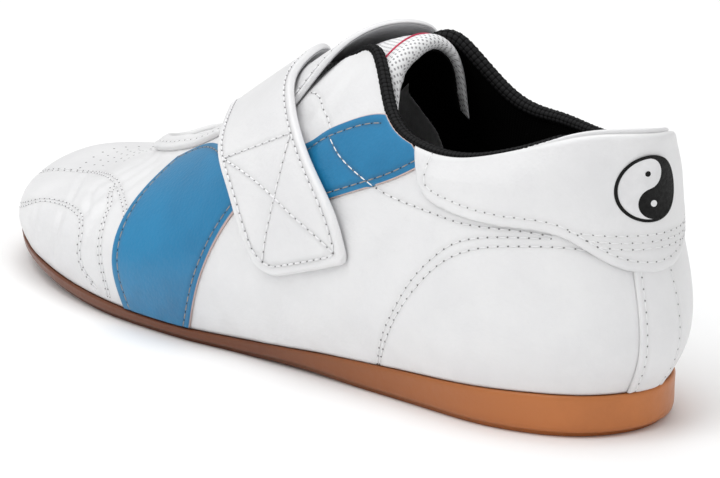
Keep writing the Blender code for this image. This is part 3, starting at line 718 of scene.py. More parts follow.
class Bench:
    """Adds nodes to one tree and joins them."""

    def __init__(self, tree: bpy.types.NodeTree) -> None:
        """Works on a node tree."""
        self.tree = tree

    def add(self, kind: str, settings: dict | None = None, inputs: dict | None = None) -> bpy.types.Node:
        """A node of a kind, with its settings, and its inputs set or joined.

        Args:
            kind: The node's type name.
            settings: Values of the node's own properties.
            inputs: Values, or sockets to join, by input name or number.

        Returns:
            The new node.
        """
        node = self.tree.nodes.new(kind)
        for name, value in (settings or {}).items():
            setattr(node, name, value)
        self.feed(node, inputs or {})
        return node

    def feed(self, node: bpy.types.Node, inputs: dict) -> None:
        """Sets a node's inputs, or joins sockets to them, by name or number."""
        for key, value in inputs.items():
            if isinstance(value, bpy.types.NodeSocket):
                self.tree.links.new(value, node.inputs[key])
            else:
                node.inputs[key].default_value = value

    def group(self, tree: bpy.types.NodeTree, inputs: dict) -> bpy.types.Node:
        """A shared effect, with its inputs set or joined."""
        return self.add("ShaderNodeGroup", {"node_tree": tree}, inputs)

    def pattern(self, tree: bpy.types.NodeTree, vector: bpy.types.NodeSocket,
                size: float) -> bpy.types.NodeSocket:
        """The output of a shared effect that has a size."""
        return self.group(tree, {"Vector": vector, "Size": size}).outputs[0]

    def parts(self, vector: bpy.types.NodeSocket) -> dict[str, bpy.types.NodeSocket]:
        """The X, Y and Z of a vector."""
        node = self.add("ShaderNodeSeparateXYZ", None, {0: vector})
        return {socket.name: socket for socket in node.outputs}

    def noise(self, inputs: dict) -> bpy.types.NodeSocket:
        """The height of a noise."""
        return self.add("ShaderNodeTexNoise", None, inputs).outputs[0]

    def math(self, operation: str, *values: float | bpy.types.NodeSocket) -> bpy.types.NodeSocket:
        """The output of a Math node."""
        node = self.add("ShaderNodeMath", {"operation": operation}, dict(enumerate(values)))
        return node.outputs[0]

    def blend(self, share: bpy.types.NodeSocket, first: object, second: object) -> bpy.types.NodeSocket:
        """A colour between two, by a share from 0 to 1."""
        node = self.add("ShaderNodeMix", {"data_type": "RGBA"}, {0: share, 6: first, 7: second})
        return node.outputs[2]

    def span(self, value: bpy.types.NodeSocket, low: float, high: float, to_low: float,
             to_high: float) -> bpy.types.NodeSocket:
        """A value carried from one range to another and held at its ends."""
        node = self.add("ShaderNodeMapRange", None, {0: value, 1: low, 2: high, 3: to_low, 4: to_high})
        return node.outputs[0]


class Effects:
    """Shader node groups that several finishes share, built once."""

    SIZED = {"Vector": "Vector", "Size": "Float"}

    def __init__(self) -> None:
        """Builds every group."""
        self.grain = self.make_grain()
        self.tone = self.make_tone()
        self.seam_shade_and_low_tone = self.make_seam_shade_and_low_tone()
        self.weave = self.make_weave()

    @staticmethod
    def start(name: str, inputs: dict[str, str],
              outputs: dict[str, str]) -> tuple[Bench, dict, bpy.types.Node]:
        """An empty group with named sockets.

        Args:
            name: The group's name.
            inputs: Socket kinds by name.
            outputs: Socket kinds by name.

        Returns:
            A bench on its tree, its input sockets by name, and its output node.
        """
        tree = bpy.data.node_groups.new(name, "ShaderNodeTree")
        for way, sockets in (("INPUT", inputs), ("OUTPUT", outputs)):
            for label, kind in sockets.items():
                tree.interface.new_socket(label, in_out=way, socket_type="NodeSocket" + kind)
        bench = Bench(tree)
        source = bench.add("NodeGroupInput")
        return bench, {label: source.outputs[label] for label in inputs}, bench.add("NodeGroupOutput")

    def make_grain(self) -> bpy.types.NodeTree:
        """Leather grain: cells with soft pebbles between fine pores, as a height.

        Returns:
            The group.
        """
        bench, given, out = self.start("leather_grain", self.SIZED, {"Height": "Float"})
        cells = bench.add("ShaderNodeTexVoronoi", {"feature": "SMOOTH_F1"},
                          {"Vector": given["Vector"], "Scale": given["Size"], "Smoothness": 0.4})
        fine = bench.noise({"Vector": given["Vector"], "Scale": bench.math("MULTIPLY", given["Size"], 2.7),
                            "Detail": 2.0})
        pebble = bench.math("MULTIPLY", cells.outputs["Distance"], -0.7)
        bench.feed(out, {"Height": bench.math("ADD", pebble, bench.math("MULTIPLY", fine, 0.5))})
        return bench.tree

    def make_tone(self) -> bpy.types.NodeTree:
        """Slow uneven tone of a worn surface, from 0 to 1.

        Returns:
            The group.
        """
        bench, given, out = self.start("slow_tone", self.SIZED, {"Tone": "Float"})
        cloud = bench.noise({"Vector": given["Vector"], "Scale": given["Size"], "Detail": 4.0,
                             "Roughness": 0.6})
        bench.feed(out, {"Tone": bench.span(cloud, 0.32, 0.68, 0.0, 1.0)})
        return bench.tree

    def make_seam_shade_and_low_tone(self) -> bpy.types.NodeTree:
        """Painted shade along sewn rows, where the stitches sink into their troughs, and a darker tone near
        the floor: the nearness to a seam, broken up by noise.

        Returns:
            The group.
        """
        bench, given, out = self.start(
            "seam_shade_and_low_tone_group", {"Vector": "Vector", "Colour": "Color", "Shade and Low Tone": "Color", "Amount": "Float"},
            {"Colour": "Color"})
        seam = bench.add("ShaderNodeAttribute", {"attribute_name": "seam"})
        noise = bench.noise({"Vector": given["Vector"], "Scale": 160.0, "Detail": 3.0})
        # Painted shade along the sewn rows, where the stitches sink into the leather, broken up by noise.
        broken = bench.math("MULTIPLY", seam.outputs["Fac"], bench.span(noise, 0.3, 0.7, 0.45, 1.0))
        height = bench.parts(given["Vector"])["Z"]
        # A darker tone towards the floor, broken up by noise.
        low = bench.math("MULTIPLY", bench.span(height, 0.004, 0.022, 0.55, 0.0),
                         bench.span(noise, 0.40, 0.68, 0.0, 1.0))
        share = bench.math("MULTIPLY", bench.math("MAXIMUM", broken, low), given["Amount"])
        bench.feed(out, {"Colour": bench.blend(share, given["Colour"], given["Shade and Low Tone"])})
        return bench.tree

    def make_weave(self) -> bpy.types.NodeTree:
        """Knit loops on a cloth: the product of two sine waves, as a height and as gaps.

        Returns:
            The group.
        """
        bench, given, out = self.start("knit_loops", {"Vector": "Vector", "Pitch": "Float"},
                                       {"Height": "Float", "Gap": "Float"})
        parts = bench.parts(given["Vector"])
        turn = bench.math("DIVIDE", math.pi, given["Pitch"])
        waves = [bench.math("ABSOLUTE", bench.math("SINE", bench.math("MULTIPLY", parts[axis], turn)))
                 for axis in "XY"]
        height = bench.math("MULTIPLY", *waves)
        bench.feed(out, {"Height": height, "Gap": bench.span(height, 0.10, 0.30, 1.0, 0.0)})
        return bench.tree


@dataclass(frozen=True)
class Finish:
    """A surface: its colour, the colour of its shaded spots, and how it shines."""

    name: str
    colour: Colour
    shade: Colour
    roughness: float

    def paint(self, bench: Bench, effects: Effects, coords: bpy.types.NodeSocket) -> None:
        """Adds the nodes of one kind of finish.

        Args:
            bench: The bench on the material's tree.
            effects: The shared effects.
            coords: Object coordinates.
        """
        raise NotImplementedError

    def material(self, effects: Effects) -> bpy.types.Material:
        """The finish as a material, with the nodes that its kind paints.

        Args:
            effects: The shared effects.

        Returns:
            The new material.
        """
        material = bpy.data.materials.new(self.name)
        material.use_nodes = True
        bench = Bench(material.node_tree)
        self.paint(bench, effects, bench.add("ShaderNodeTexCoord").outputs["Object"])
        return material

    def tones(self, bench: Bench, share: bpy.types.NodeSocket) -> bpy.types.NodeSocket:
        """The finish's colour, which turns to its shade as the share goes from 0 to 1."""
        return bench.blend(share, (*self.colour, 1), (*self.shade, 1))

    def join(self, bench: Bench, colour: bpy.types.NodeSocket, tone: bpy.types.NodeSocket,
             height: bpy.types.NodeSocket, depth: float, strength: float, others: dict) -> None:
        """Feeds the shader.

        Args:
            bench: The bench on the material's tree.
            colour: The colour.
            tone: Slow tone, which makes the roughness uneven.
            height: Height of the bump.
            depth: How deep the bump is, metres.
            strength: Share of the bump that is used.
            others: Further inputs of the shader.
        """
        rough = bench.span(tone, 0.0, 1.0, self.roughness - 0.05, self.roughness + 0.07)
        bump = bench.add("ShaderNodeBump", None, {"Height": height, "Distance": depth, "Strength": strength})
        bench.feed(bench.tree.nodes["Principled BSDF"],
                   {"Base Color": colour, "Roughness": rough, "Normal": bump.outputs[0], **others})


@dataclass(frozen=True)
class Leather(Finish):
    """Smooth coated leather with a fine grain, painted shade along its seams, a darker tone near the floor,
    an uneven tone and a pale cut edge.
    """

    cut: Colour = (0.74, 0.74, 0.74)
    # Colour and amount of the painted shade along the seams; the same colour also darkens the leather near
    # the floor.
    seam_shade_and_low_tone: Colour = (0.42, 0.41, 0.40)
    seam_shade_and_low_tone_amount: float = 0.22
    grain: float = 850.0
    coat: float = 0.10

    def paint(self, bench: Bench, effects: Effects, coords: bpy.types.NodeSocket) -> None:
        """Adds the leather's nodes."""
        tone = bench.pattern(effects.tone, coords, 38.0)
        grain = bench.pattern(effects.grain, coords, self.grain)
        colour = bench.blend(tone, (*self.shade, 1), (*self.colour, 1))
        seam = bench.add("ShaderNodeAttribute", {"attribute_name": "seam"}).outputs["Fac"]
        colour = bench.blend(bench.span(seam, -0.35, -0.75, 0.0, 1.0), colour, (*self.cut, 1))
        # Painted shade along the sewn rows, and a darker tone near the floor.
        seam_shade_and_low_tone = bench.group(effects.seam_shade_and_low_tone, {"Vector": coords, "Colour": colour, "Shade and Low Tone": (*self.seam_shade_and_low_tone, 1),
                                          "Amount": self.seam_shade_and_low_tone_amount})
        self.join(bench, seam_shade_and_low_tone.outputs[0], tone, grain, 0.0003, 0.35,
                  {"Coat Weight": self.coat, "Coat Roughness": 0.25})


@dataclass(frozen=True)
class Knit(Finish):
    """Knitted cloth: loops on the cloth's own map, darker in the gaps."""

    pitch: float = 0.0011

    def paint(self, bench: Bench, effects: Effects, coords: bpy.types.NodeSocket) -> None:
        """Adds the knit's nodes."""
        cloth = bench.add("ShaderNodeUVMap", {"uv_map": "cloth"}).outputs[0]
        tone = bench.pattern(effects.tone, coords, 60.0)
        loops = bench.group(effects.weave, {"Vector": cloth, "Pitch": self.pitch}).outputs
        self.join(bench, self.tones(bench, loops["Gap"]), tone, loops["Height"], 0.0004, 0.6,
                  {"Specular IOR Level": 0.08})


@dataclass(frozen=True)
class OpenMesh(Finish):
    """Spacer mesh: small dark pores in slanted rows, at the crests of the knit's waves."""

    pitch: float = 0.0013
    slant: float = 38.0

    def paint(self, bench: Bench, effects: Effects, coords: bpy.types.NodeSocket) -> None:
        """Adds the mesh's nodes."""
        tone = bench.pattern(effects.tone, coords, 60.0)
        cloth = bench.add("ShaderNodeUVMap", {"uv_map": "cloth"}).outputs[0]
        slanted = bench.add("ShaderNodeMapping", None,
                            {"Vector": cloth, "Rotation": (0.0, 0.0, math.radians(self.slant))}).outputs[0]
        loops = bench.group(effects.weave, {"Vector": slanted, "Pitch": self.pitch}).outputs
        pore = bench.span(loops["Height"], 0.58, 0.90, 0.0, 1.0)
        nub = bench.math("SUBTRACT", 1.0, pore)
        self.join(bench, self.tones(bench, pore), tone, nub, 0.0004, 0.5, {})


@dataclass(frozen=True)
class Gum(Finish):
    """Gum rubber: amber at the heel, with painted shade that darkens it towards the toe, and fine cross ribs
    underneath.
    """

    rib: float = 0.0032

    def paint(self, bench: Bench, effects: Effects, coords: bpy.types.NodeSocket) -> None:
        """Adds the rubber's nodes."""
        tone = bench.pattern(effects.tone, coords, 55.0)
        grain = bench.pattern(effects.grain, coords, 420.0)
        along = bench.parts(coords)["X"]
        # Painted shade: the gum turns to its darker colour towards the toe, where the sole's curve lies in
        # shadow.
        painted_toe_shade = bench.span(along, 0.128, 0.012, 0.0, 1.0)
        toe_shade_and_tone = bench.math("MAXIMUM", painted_toe_shade, bench.math("MULTIPLY", tone, 0.22))
        ribs = bench.math("SINE", bench.math("MULTIPLY", along, 2 * math.pi / self.rib))
        normal = bench.add("ShaderNodeNewGeometry").outputs["Normal"]
        below = bench.span(bench.parts(normal)["Z"], -0.85, -0.95, 0.0, 2.0)
        height = bench.math("ADD", grain, bench.math("MULTIPLY", ribs, below))
        self.join(bench, self.tones(bench, toe_shade_and_tone), tone, height, 0.0004, 0.25, {"Specular IOR Level": 0.35})


@dataclass(frozen=True)
class Plain(Finish):
    """Thread, ink, felt or piping: one colour with a fine uneven tone and a fine nap."""

    size: float = 700.0
    specular: float = 0.4

    def paint(self, bench: Bench, effects: Effects, coords: bpy.types.NodeSocket) -> None:
        """Adds the nodes of the tone and the nap."""
        tone = bench.pattern(effects.tone, coords, self.size)
        grain = bench.pattern(effects.grain, coords, self.size * 3)
        colour = bench.blend(tone, (*self.shade, 1), (*self.colour, 1))
        self.join(bench, colour, tone, grain, 0.0002, 0.4, {"Specular IOR Level": self.specular})


FINISHES: dict[str, Finish] = {
    "white": Leather("white_leather", (0.79, 0.79, 0.795), (0.735, 0.735, 0.745), 0.42),
    # The blue leather's seam colour is painted shade along its sewn rows, and it also darkens the leather
    # near the floor.
    "blue": Leather("blue_leather", (0.011, 0.205, 0.415), (0.008, 0.165, 0.345), 0.40,
                    cut=(0.62, 0.47, 0.43), seam_shade_and_low_tone=(0.02, 0.06, 0.12), seam_shade_and_low_tone_amount=0.5),
    # The gum's darker colour is painted shade towards the toe as well as the dark end of its uneven tone.
    "gum": Gum("gum_rubber", (0.53, 0.180, 0.052), (0.150, 0.048, 0.020), 0.36),
    "lining": Knit("black_lining", (0.007, 0.007, 0.007), (0.0015, 0.0015, 0.0015), 0.92),
    "binding": Knit("black_binding", (0.020, 0.020, 0.021), (0.002, 0.002, 0.002), 0.80, pitch=0.0015),
    "mesh": OpenMesh("white_mesh", (0.86, 0.86, 0.87), (0.30, 0.30, 0.31), 0.75),
    "board": Plain("black_felt", (0.020, 0.020, 0.021), (0.012, 0.012, 0.013), 0.90, 240.0, 0.1),
    "vamp_lining": Plain("pale_lining", (0.84, 0.84, 0.85), (0.77, 0.77, 0.78), 0.85, 500.0, 0.1),
    "felt": Plain("grey_felt", (0.50, 0.50, 0.51), (0.42, 0.42, 0.43), 0.80),
    "thread": Plain("pale_thread", (0.86, 0.86, 0.87), (0.78, 0.78, 0.79), 0.60),
    "dark_thread": Plain("brown_thread", (0.36, 0.33, 0.31), (0.22, 0.20, 0.19), 0.65),
    "ink": Plain("black_ink", (0.004, 0.004, 0.004), (0.012, 0.012, 0.012), 0.60, 900.0, 0.15),
    "pale_ink": Plain("white_ink", (0.80, 0.80, 0.81), (0.72, 0.72, 0.73), 0.42, 160.0),
    "piping": Plain("red_piping", (0.58, 0.035, 0.09), (0.45, 0.025, 0.07), 0.55),
    # Painted shade: grey and dark discs stand in for the shade inside needle holes and pinholes.
    "prick": Plain("grey_hole_shade", (0.24, 0.24, 0.24), (0.17, 0.17, 0.17), 0.9),
    "hole": Plain("dark_hole_shade", (0.05, 0.05, 0.05), (0.03, 0.03, 0.03), 0.9),
    "floor": Plain("pale_floor", (0.95, 0.95, 0.95), (0.94, 0.94, 0.94), 0.80, 3.0),
}
Wardrobe = dict[str, bpy.types.Material]


@dataclass(frozen=True)
class Needle:
    """Sizes of a sewn row, millimetres."""

    pitch: float = 3.0
    length: float = 2.35
    radius: float = 0.23
    spread: float = 0.0
    hole: float = 0.25


class Stitching:
    """Sewn rows: one small thread for each stitch, all of a colour in one piece."""

    RINGS = np.array(((-1.0, 0.30), (-0.62, 0.95), (0.62, 0.95), (1.0, 0.30)))
    SIDES = 6
    LONGEST = 0.82
    SAG = 0.35
    HOLE_HINT = (0.31, 0.52, 0.79)
    HOLE_LIFTS = (-0.3, 0.06)

    def __init__(self, name: str, material: bpy.types.Material) -> None:
        """Starts with no row.

        Args:
            name: Name of the piece that all stitches become.
            material: The thread's finish.
        """
        self.name = name
        self.material = material
        self.parts: list[Array] = []
        self.pricks: list[Array] = []

    def sew(self, path: Path, needle: Needle = Needle()) -> None:
        """Lays stitches along a path, in one row or in two beside it.

        Args:
            path: Points and normals along the row, metres.
            needle: Sizes of the row.
        """
        points, normals = path
        offsets = (0.0,) if needle.spread == 0 else (-needle.spread / 2, needle.spread / 2)
        beside = unit(np.cross(normals, unit(np.gradient(points, axis=0))))
        for offset in offsets:
            self.lay(points + beside * offset * MM, normals, needle)

    def lay(self, points: Array, normals: Array, needle: Needle) -> None:
        """One row: a capsule carried to each stitch's middle, along the row and off the surface.

        Args:
            points: Points of the row.
            normals: Normals of the row.
            needle: Sizes of the row.
        """
        run = run_of(points)
        count = max(int(run[-1] / (needle.pitch * MM)), 1)
        at = (np.arange(count) + 0.5) * run[-1] / count
        walk = read_path(at, run, points)
        rise = unit(read_path(at, run, normals))
        ahead = unit(read_path(at, run, np.gradient(points, run, axis=0)))
        beside = unit(np.cross(rise, ahead))
        turn = circle(self.SIDES)
        half = min(needle.length, self.LONGEST * run[-1] / count / MM) / 2
        along = np.repeat(self.RINGS[:, 0] * half, self.SIDES)
        out = np.repeat(self.RINGS[:, 1] * needle.radius, self.SIDES)
        sway = out * np.tile(np.cos(turn), len(self.RINGS))
        sag = self.SAG * needle.radius * (along / half) ** 2
        lift = out * np.tile(np.sin(turn), len(self.RINGS)) - sag
        thread = (walk[:, None] + ahead[:, None] * along[:, None] * MM
                  + beside[:, None] * sway[:, None] * MM + rise[:, None] * lift[:, None] * MM)
        self.parts.append(thread)
        at = np.arange(count + 1) * run[-1] / count
        self.prick(read_path(at, run, points), unit(read_path(at, run, normals)), needle.hole)

    def prick(self, middle: Array, rise: Array, radius: float) -> None:
        """Needle holes between the stitches: small flat discs on the surface, whose darker colour is painted
        shade inside the holes.

        Args:
            middle: Where the needle went in.
            rise: Normals there.
            radius: Radius of a hole, millimetres.
        """
        ring = rings_round(rise, self.HOLE_HINT, radius, self.SIDES)
        low, high = (middle[:, None] + ring + rise[:, None] * lift * MM for lift in self.HOLE_LIFTS)
        self.pricks.append(np.concatenate([low, high], 1))

    def build(self, holes: str, hole_material: bpy.types.Material) -> None:
        """All stitches as one piece, and all needle holes as another.

        Args:
            holes: Name of the piece of needle holes.
            hole_material: Its finish.
        """
        Finishable.swarm(self.name, np.concatenate(self.parts), len(self.RINGS), self.material)
        Finishable.swarm(holes, np.concatenate(self.pricks), len(self.HOLE_LIFTS), hole_material)


@dataclass(frozen=True)
class Seam:
    """A sewn row on the upper, on both sides: a line of (section, rise) and its needle."""

    line: tuple[tuple[float, float], ...]
    needle: Needle = Needle()


DOUBLE = Needle(pitch=2.5, length=1.95, radius=0.20, spread=1.25, hole=0.19)
FINE = Needle(pitch=2.7, length=2.15, radius=0.32, hole=0.15)
SEAMS = (
    Seam(((14.0, 0.110), (13.3, 0.130), (12.78, 0.210), (12.50, 0.330), (12.36, 0.430), (12.06, 0.520),
          (11.62, 0.585), (11.15, 0.610), (10.7, 0.605), (10.3, 0.570), (9.95, 0.520), (9.7, 0.465),
          (9.47, 0.390)), DOUBLE),
    Seam(((12.8, 0.045), (12.01, 0.112), (11.51, 0.225), (11.25, 0.296), (10.96, 0.340), (10.60, 0.356),
          (10.27, 0.330), (10.09, 0.275), (10.03, 0.210), (9.98, 0.145), (9.88, 0.083),
          (9.76, 0.030)), DOUBLE),
    Seam(((10.55, 0.565), (10.12, 0.479), (9.85, 0.375), (9.73, 0.296), (9.65, 0.225), (9.59, 0.158),
          (9.56, 0.083), (9.55, 0.02)), DOUBLE),
    Seam(((3.63, 0.004), (3.51, 0.121), (3.23, 0.296), (2.98, 0.421), (2.69, 0.533), (2.50, 0.580),
          (2.25, 0.602), (1.86, 0.606), (1.38, 0.604))),
    Seam(((3.60, 0.004), (3.48, 0.100), (3.20, 0.272), (2.87, 0.417), (2.59, 0.508), (2.37, 0.547),
          (2.15, 0.566), (1.79, 0.573), (1.35, 0.575), (1.10, 0.571), (0.8, 0.555))),
    Seam(((3.92, 0.738), (3.75, 0.731), (3.23, 0.719), (2.85, 0.697), (2.47, 0.662), (2.15, 0.642),
          (1.76, 0.629), (1.35, 0.613))),
    Seam(((7.25, 0.822), (7.03, 0.804), (6.62, 0.778), (6.27, 0.760), (5.9, 0.750), (5.55, 0.745))),
)


@dataclass
class Overlay:
    """A leather overlay cut from the last between a lower and an upper edge.

    A place on it is (share, at): share runs from the lower to the upper edge and at along them,
    and both edges are lines of (around, rise) joined by straight shares.
    """

    node: str
    last: Last
    low: Array
    high: Array
    thickness: float = OVERLAY
    roll: float = 1.3
    pad: float = 0.25
    grid: tuple[int, int] = (36, 120)
    trough: float = 0.22
    slot: str = "white_leather"

    FOOT = 0.30
    CROWN_WIDTH = 7.0
    CUT_WIDTH = 0.3
    BACK = 0.3

    def __post_init__(self) -> None:
        """Spaces both edges by the mean length walked along them."""
        edges = (self.low, self.high)
        walk = sum(run_of(self.last.bare.skin(*edge.T)) for edge in edges)
        even = np.linspace(0, walk[-1], len(walk))
        self.low, self.high = (read_path(even, walk, edge) for edge in edges)

    def places(self, share: Array, at: Array) -> tuple[Array, Array]:
        """(around, rise) of places on the overlay."""
        share, at = np.broadcast_arrays(np.asarray(share, float), at)
        knots = np.linspace(0, 1, len(self.low))
        low, high = (read_path(at, knots, edge) for edge in (self.low, self.high))
        return tuple(np.moveaxis(low + share[..., None] * (high - low), -1, 0))

    def spans(self, share: Array, at: Array) -> tuple[Array, Array]:
        """How large the overlay is, in lengths along the leather.

        Args:
            share: Shares from the lower to the upper edge.
            at: Places along the edges.

        Returns:
            Millimetres from lower to upper edge at each at, and from end to end at each share.
        """
        steps = np.linspace(0, 1, 12)
        up = self.last.worn.skin(*self.places(steps[:, None], np.ravel(at)[None, :]))
        long_steps = np.linspace(0, 1, 60)
        across = self.last.worn.skin(*self.places(np.ravel(share)[:, None], long_steps[None, :]))
        return lengths(up, 0).reshape(np.shape(at)) / MM, lengths(across, 1).reshape(np.shape(share)) / MM

    def lift(self, share: Array, at: Array) -> tuple[Array, Array]:
        """Height of the top side: a rolled edge, then a crown that rises to the pad.

        Args:
            share: Column of shares.
            at: Row of places along the edges.

        Returns:
            Lift off the last in metres and the distance from the border in millimetres.
        """
        height, width = self.spans(share, at)
        inside = np.minimum(np.minimum(share, 1 - share) * height, np.minimum(at, 1 - at) * width)
        crown = self.pad * (1 - bell(inside, self.CROWN_WIDTH))
        return (GAP + self.thickness * rolled(inside, self.roll, self.FOOT) + crown) * MM, inside

    def row(self, share: Array, at: Array) -> Path:
        """Points and normals of a row in its trough on the top side."""
        share, at = np.broadcast_arrays(np.asarray(share, float), at)
        lift, _ = self.lift(share, at)
        return self.last.worn.path(*self.places(share, at), lift - self.trough * MM)

    def free_row(self, line: tuple[tuple[float, float], ...]) -> Path:
        """A row as high as the nearest place of the top side.

        Args:
            line: Places (section, rise) of the row.

        Returns:
            Points and normals of the row.
        """
        spots = self.last.trace(line)
        share, at = np.linspace(0, 1, 50)[:, None], np.linspace(0, 1, 240)[None, :]
        field = self.last.worn.skin(*self.places(share, at)).reshape(-1, 3)
        away = np.linalg.norm(self.last.worn.skin(*spots)[:, None] - field, axis=2)
        lift = self.lift(share, at)[0].ravel()[away.argmin(axis=1)]
        return self.last.worn.path(*spots, lift - self.trough * MM)

    def border_row(self, inset: float, end_inset: float, top: float) -> Path:
        """A row down one end, along the lower edge and up the other end, with soft corners.

        Args:
            inset: Millimetres from the lower edge.
            end_inset: Millimetres from the two ends.
            top: Share at which the row begins and stops.

        Returns:
            Points and normals of the row.
        """
        _, width = self.spans(np.array([0.5]), np.array([0.5]))
        margin = end_inset / width[0]
        at = np.linspace(margin, 1 - margin, 240)
        height, _ = self.spans(np.array([0.5]), at)
        share = inset / height
        ends = np.linspace(0, 1, 40)[:-1]
        first = level(top + ends * (share[0] - top), margin)
        last = level(top + ends * (share[-1] - top), 1 - margin)
        line = np.concatenate([first, np.column_stack([share, at]), last[::-1]])
        return self.row(*soften(line, 9).T)

    def edge_row(self, inset: float, upper: bool = False, start: float = 0.0, end: float = 1.0) -> Path:
        """A row at an inset in millimetres from the lower or the upper edge."""
        at = np.linspace(start, end, 160)
        height, _ = self.spans(np.array([0.5]), at)
        share = inset / height
        return self.row(1 - share if upper else share, at)

    def end_row(self, inset: float, far: bool, start: float = 0.0, end: float = 1.0) -> Path:
        """A row at an inset in millimetres from one of the two ends."""
        share = np.linspace(start, end, 60)
        _, width = self.spans(share, np.array([0.5]))
        at = inset / width
        return self.row(share, 1 - at if far else at)

    def build(self, material: bpy.types.Material, rows: list[Path]) -> bpy.types.Object:
        """The overlay as a slab with troughs under its sewn rows.

        Args:
            material: The finish.
            rows: Sewn rows that lie on it.

        Returns:
            The new piece.
        """
        share = ease(self.grid[0])[:, None]
        at = ease(self.grid[1], 0.25)[None, :]
        spot = self.places(share, at)
        lift, inside = self.lift(share, at)
        away = row_distance(self.last.worn.skin(*spot, lift), rows, 3)
        lift = lift - self.trough * MM * bell(away, TROUGH_WIDTH)
        under = self.last.worn.skin(*spot, GAP * self.BACK * MM)
        # Nearness to a sewn row, where the leather gets painted shade, less the pale cut edge.
        seam = bell(away, SEAM_SHADE_WIDTH) - bell(inside, self.CUT_WIDTH)
        over = self.last.worn.skin(*spot, lift)
        piece = Finishable.slab(f"{self.node}_leather", under, over, material, seam=seam)
        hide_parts(self.node)
        return piece


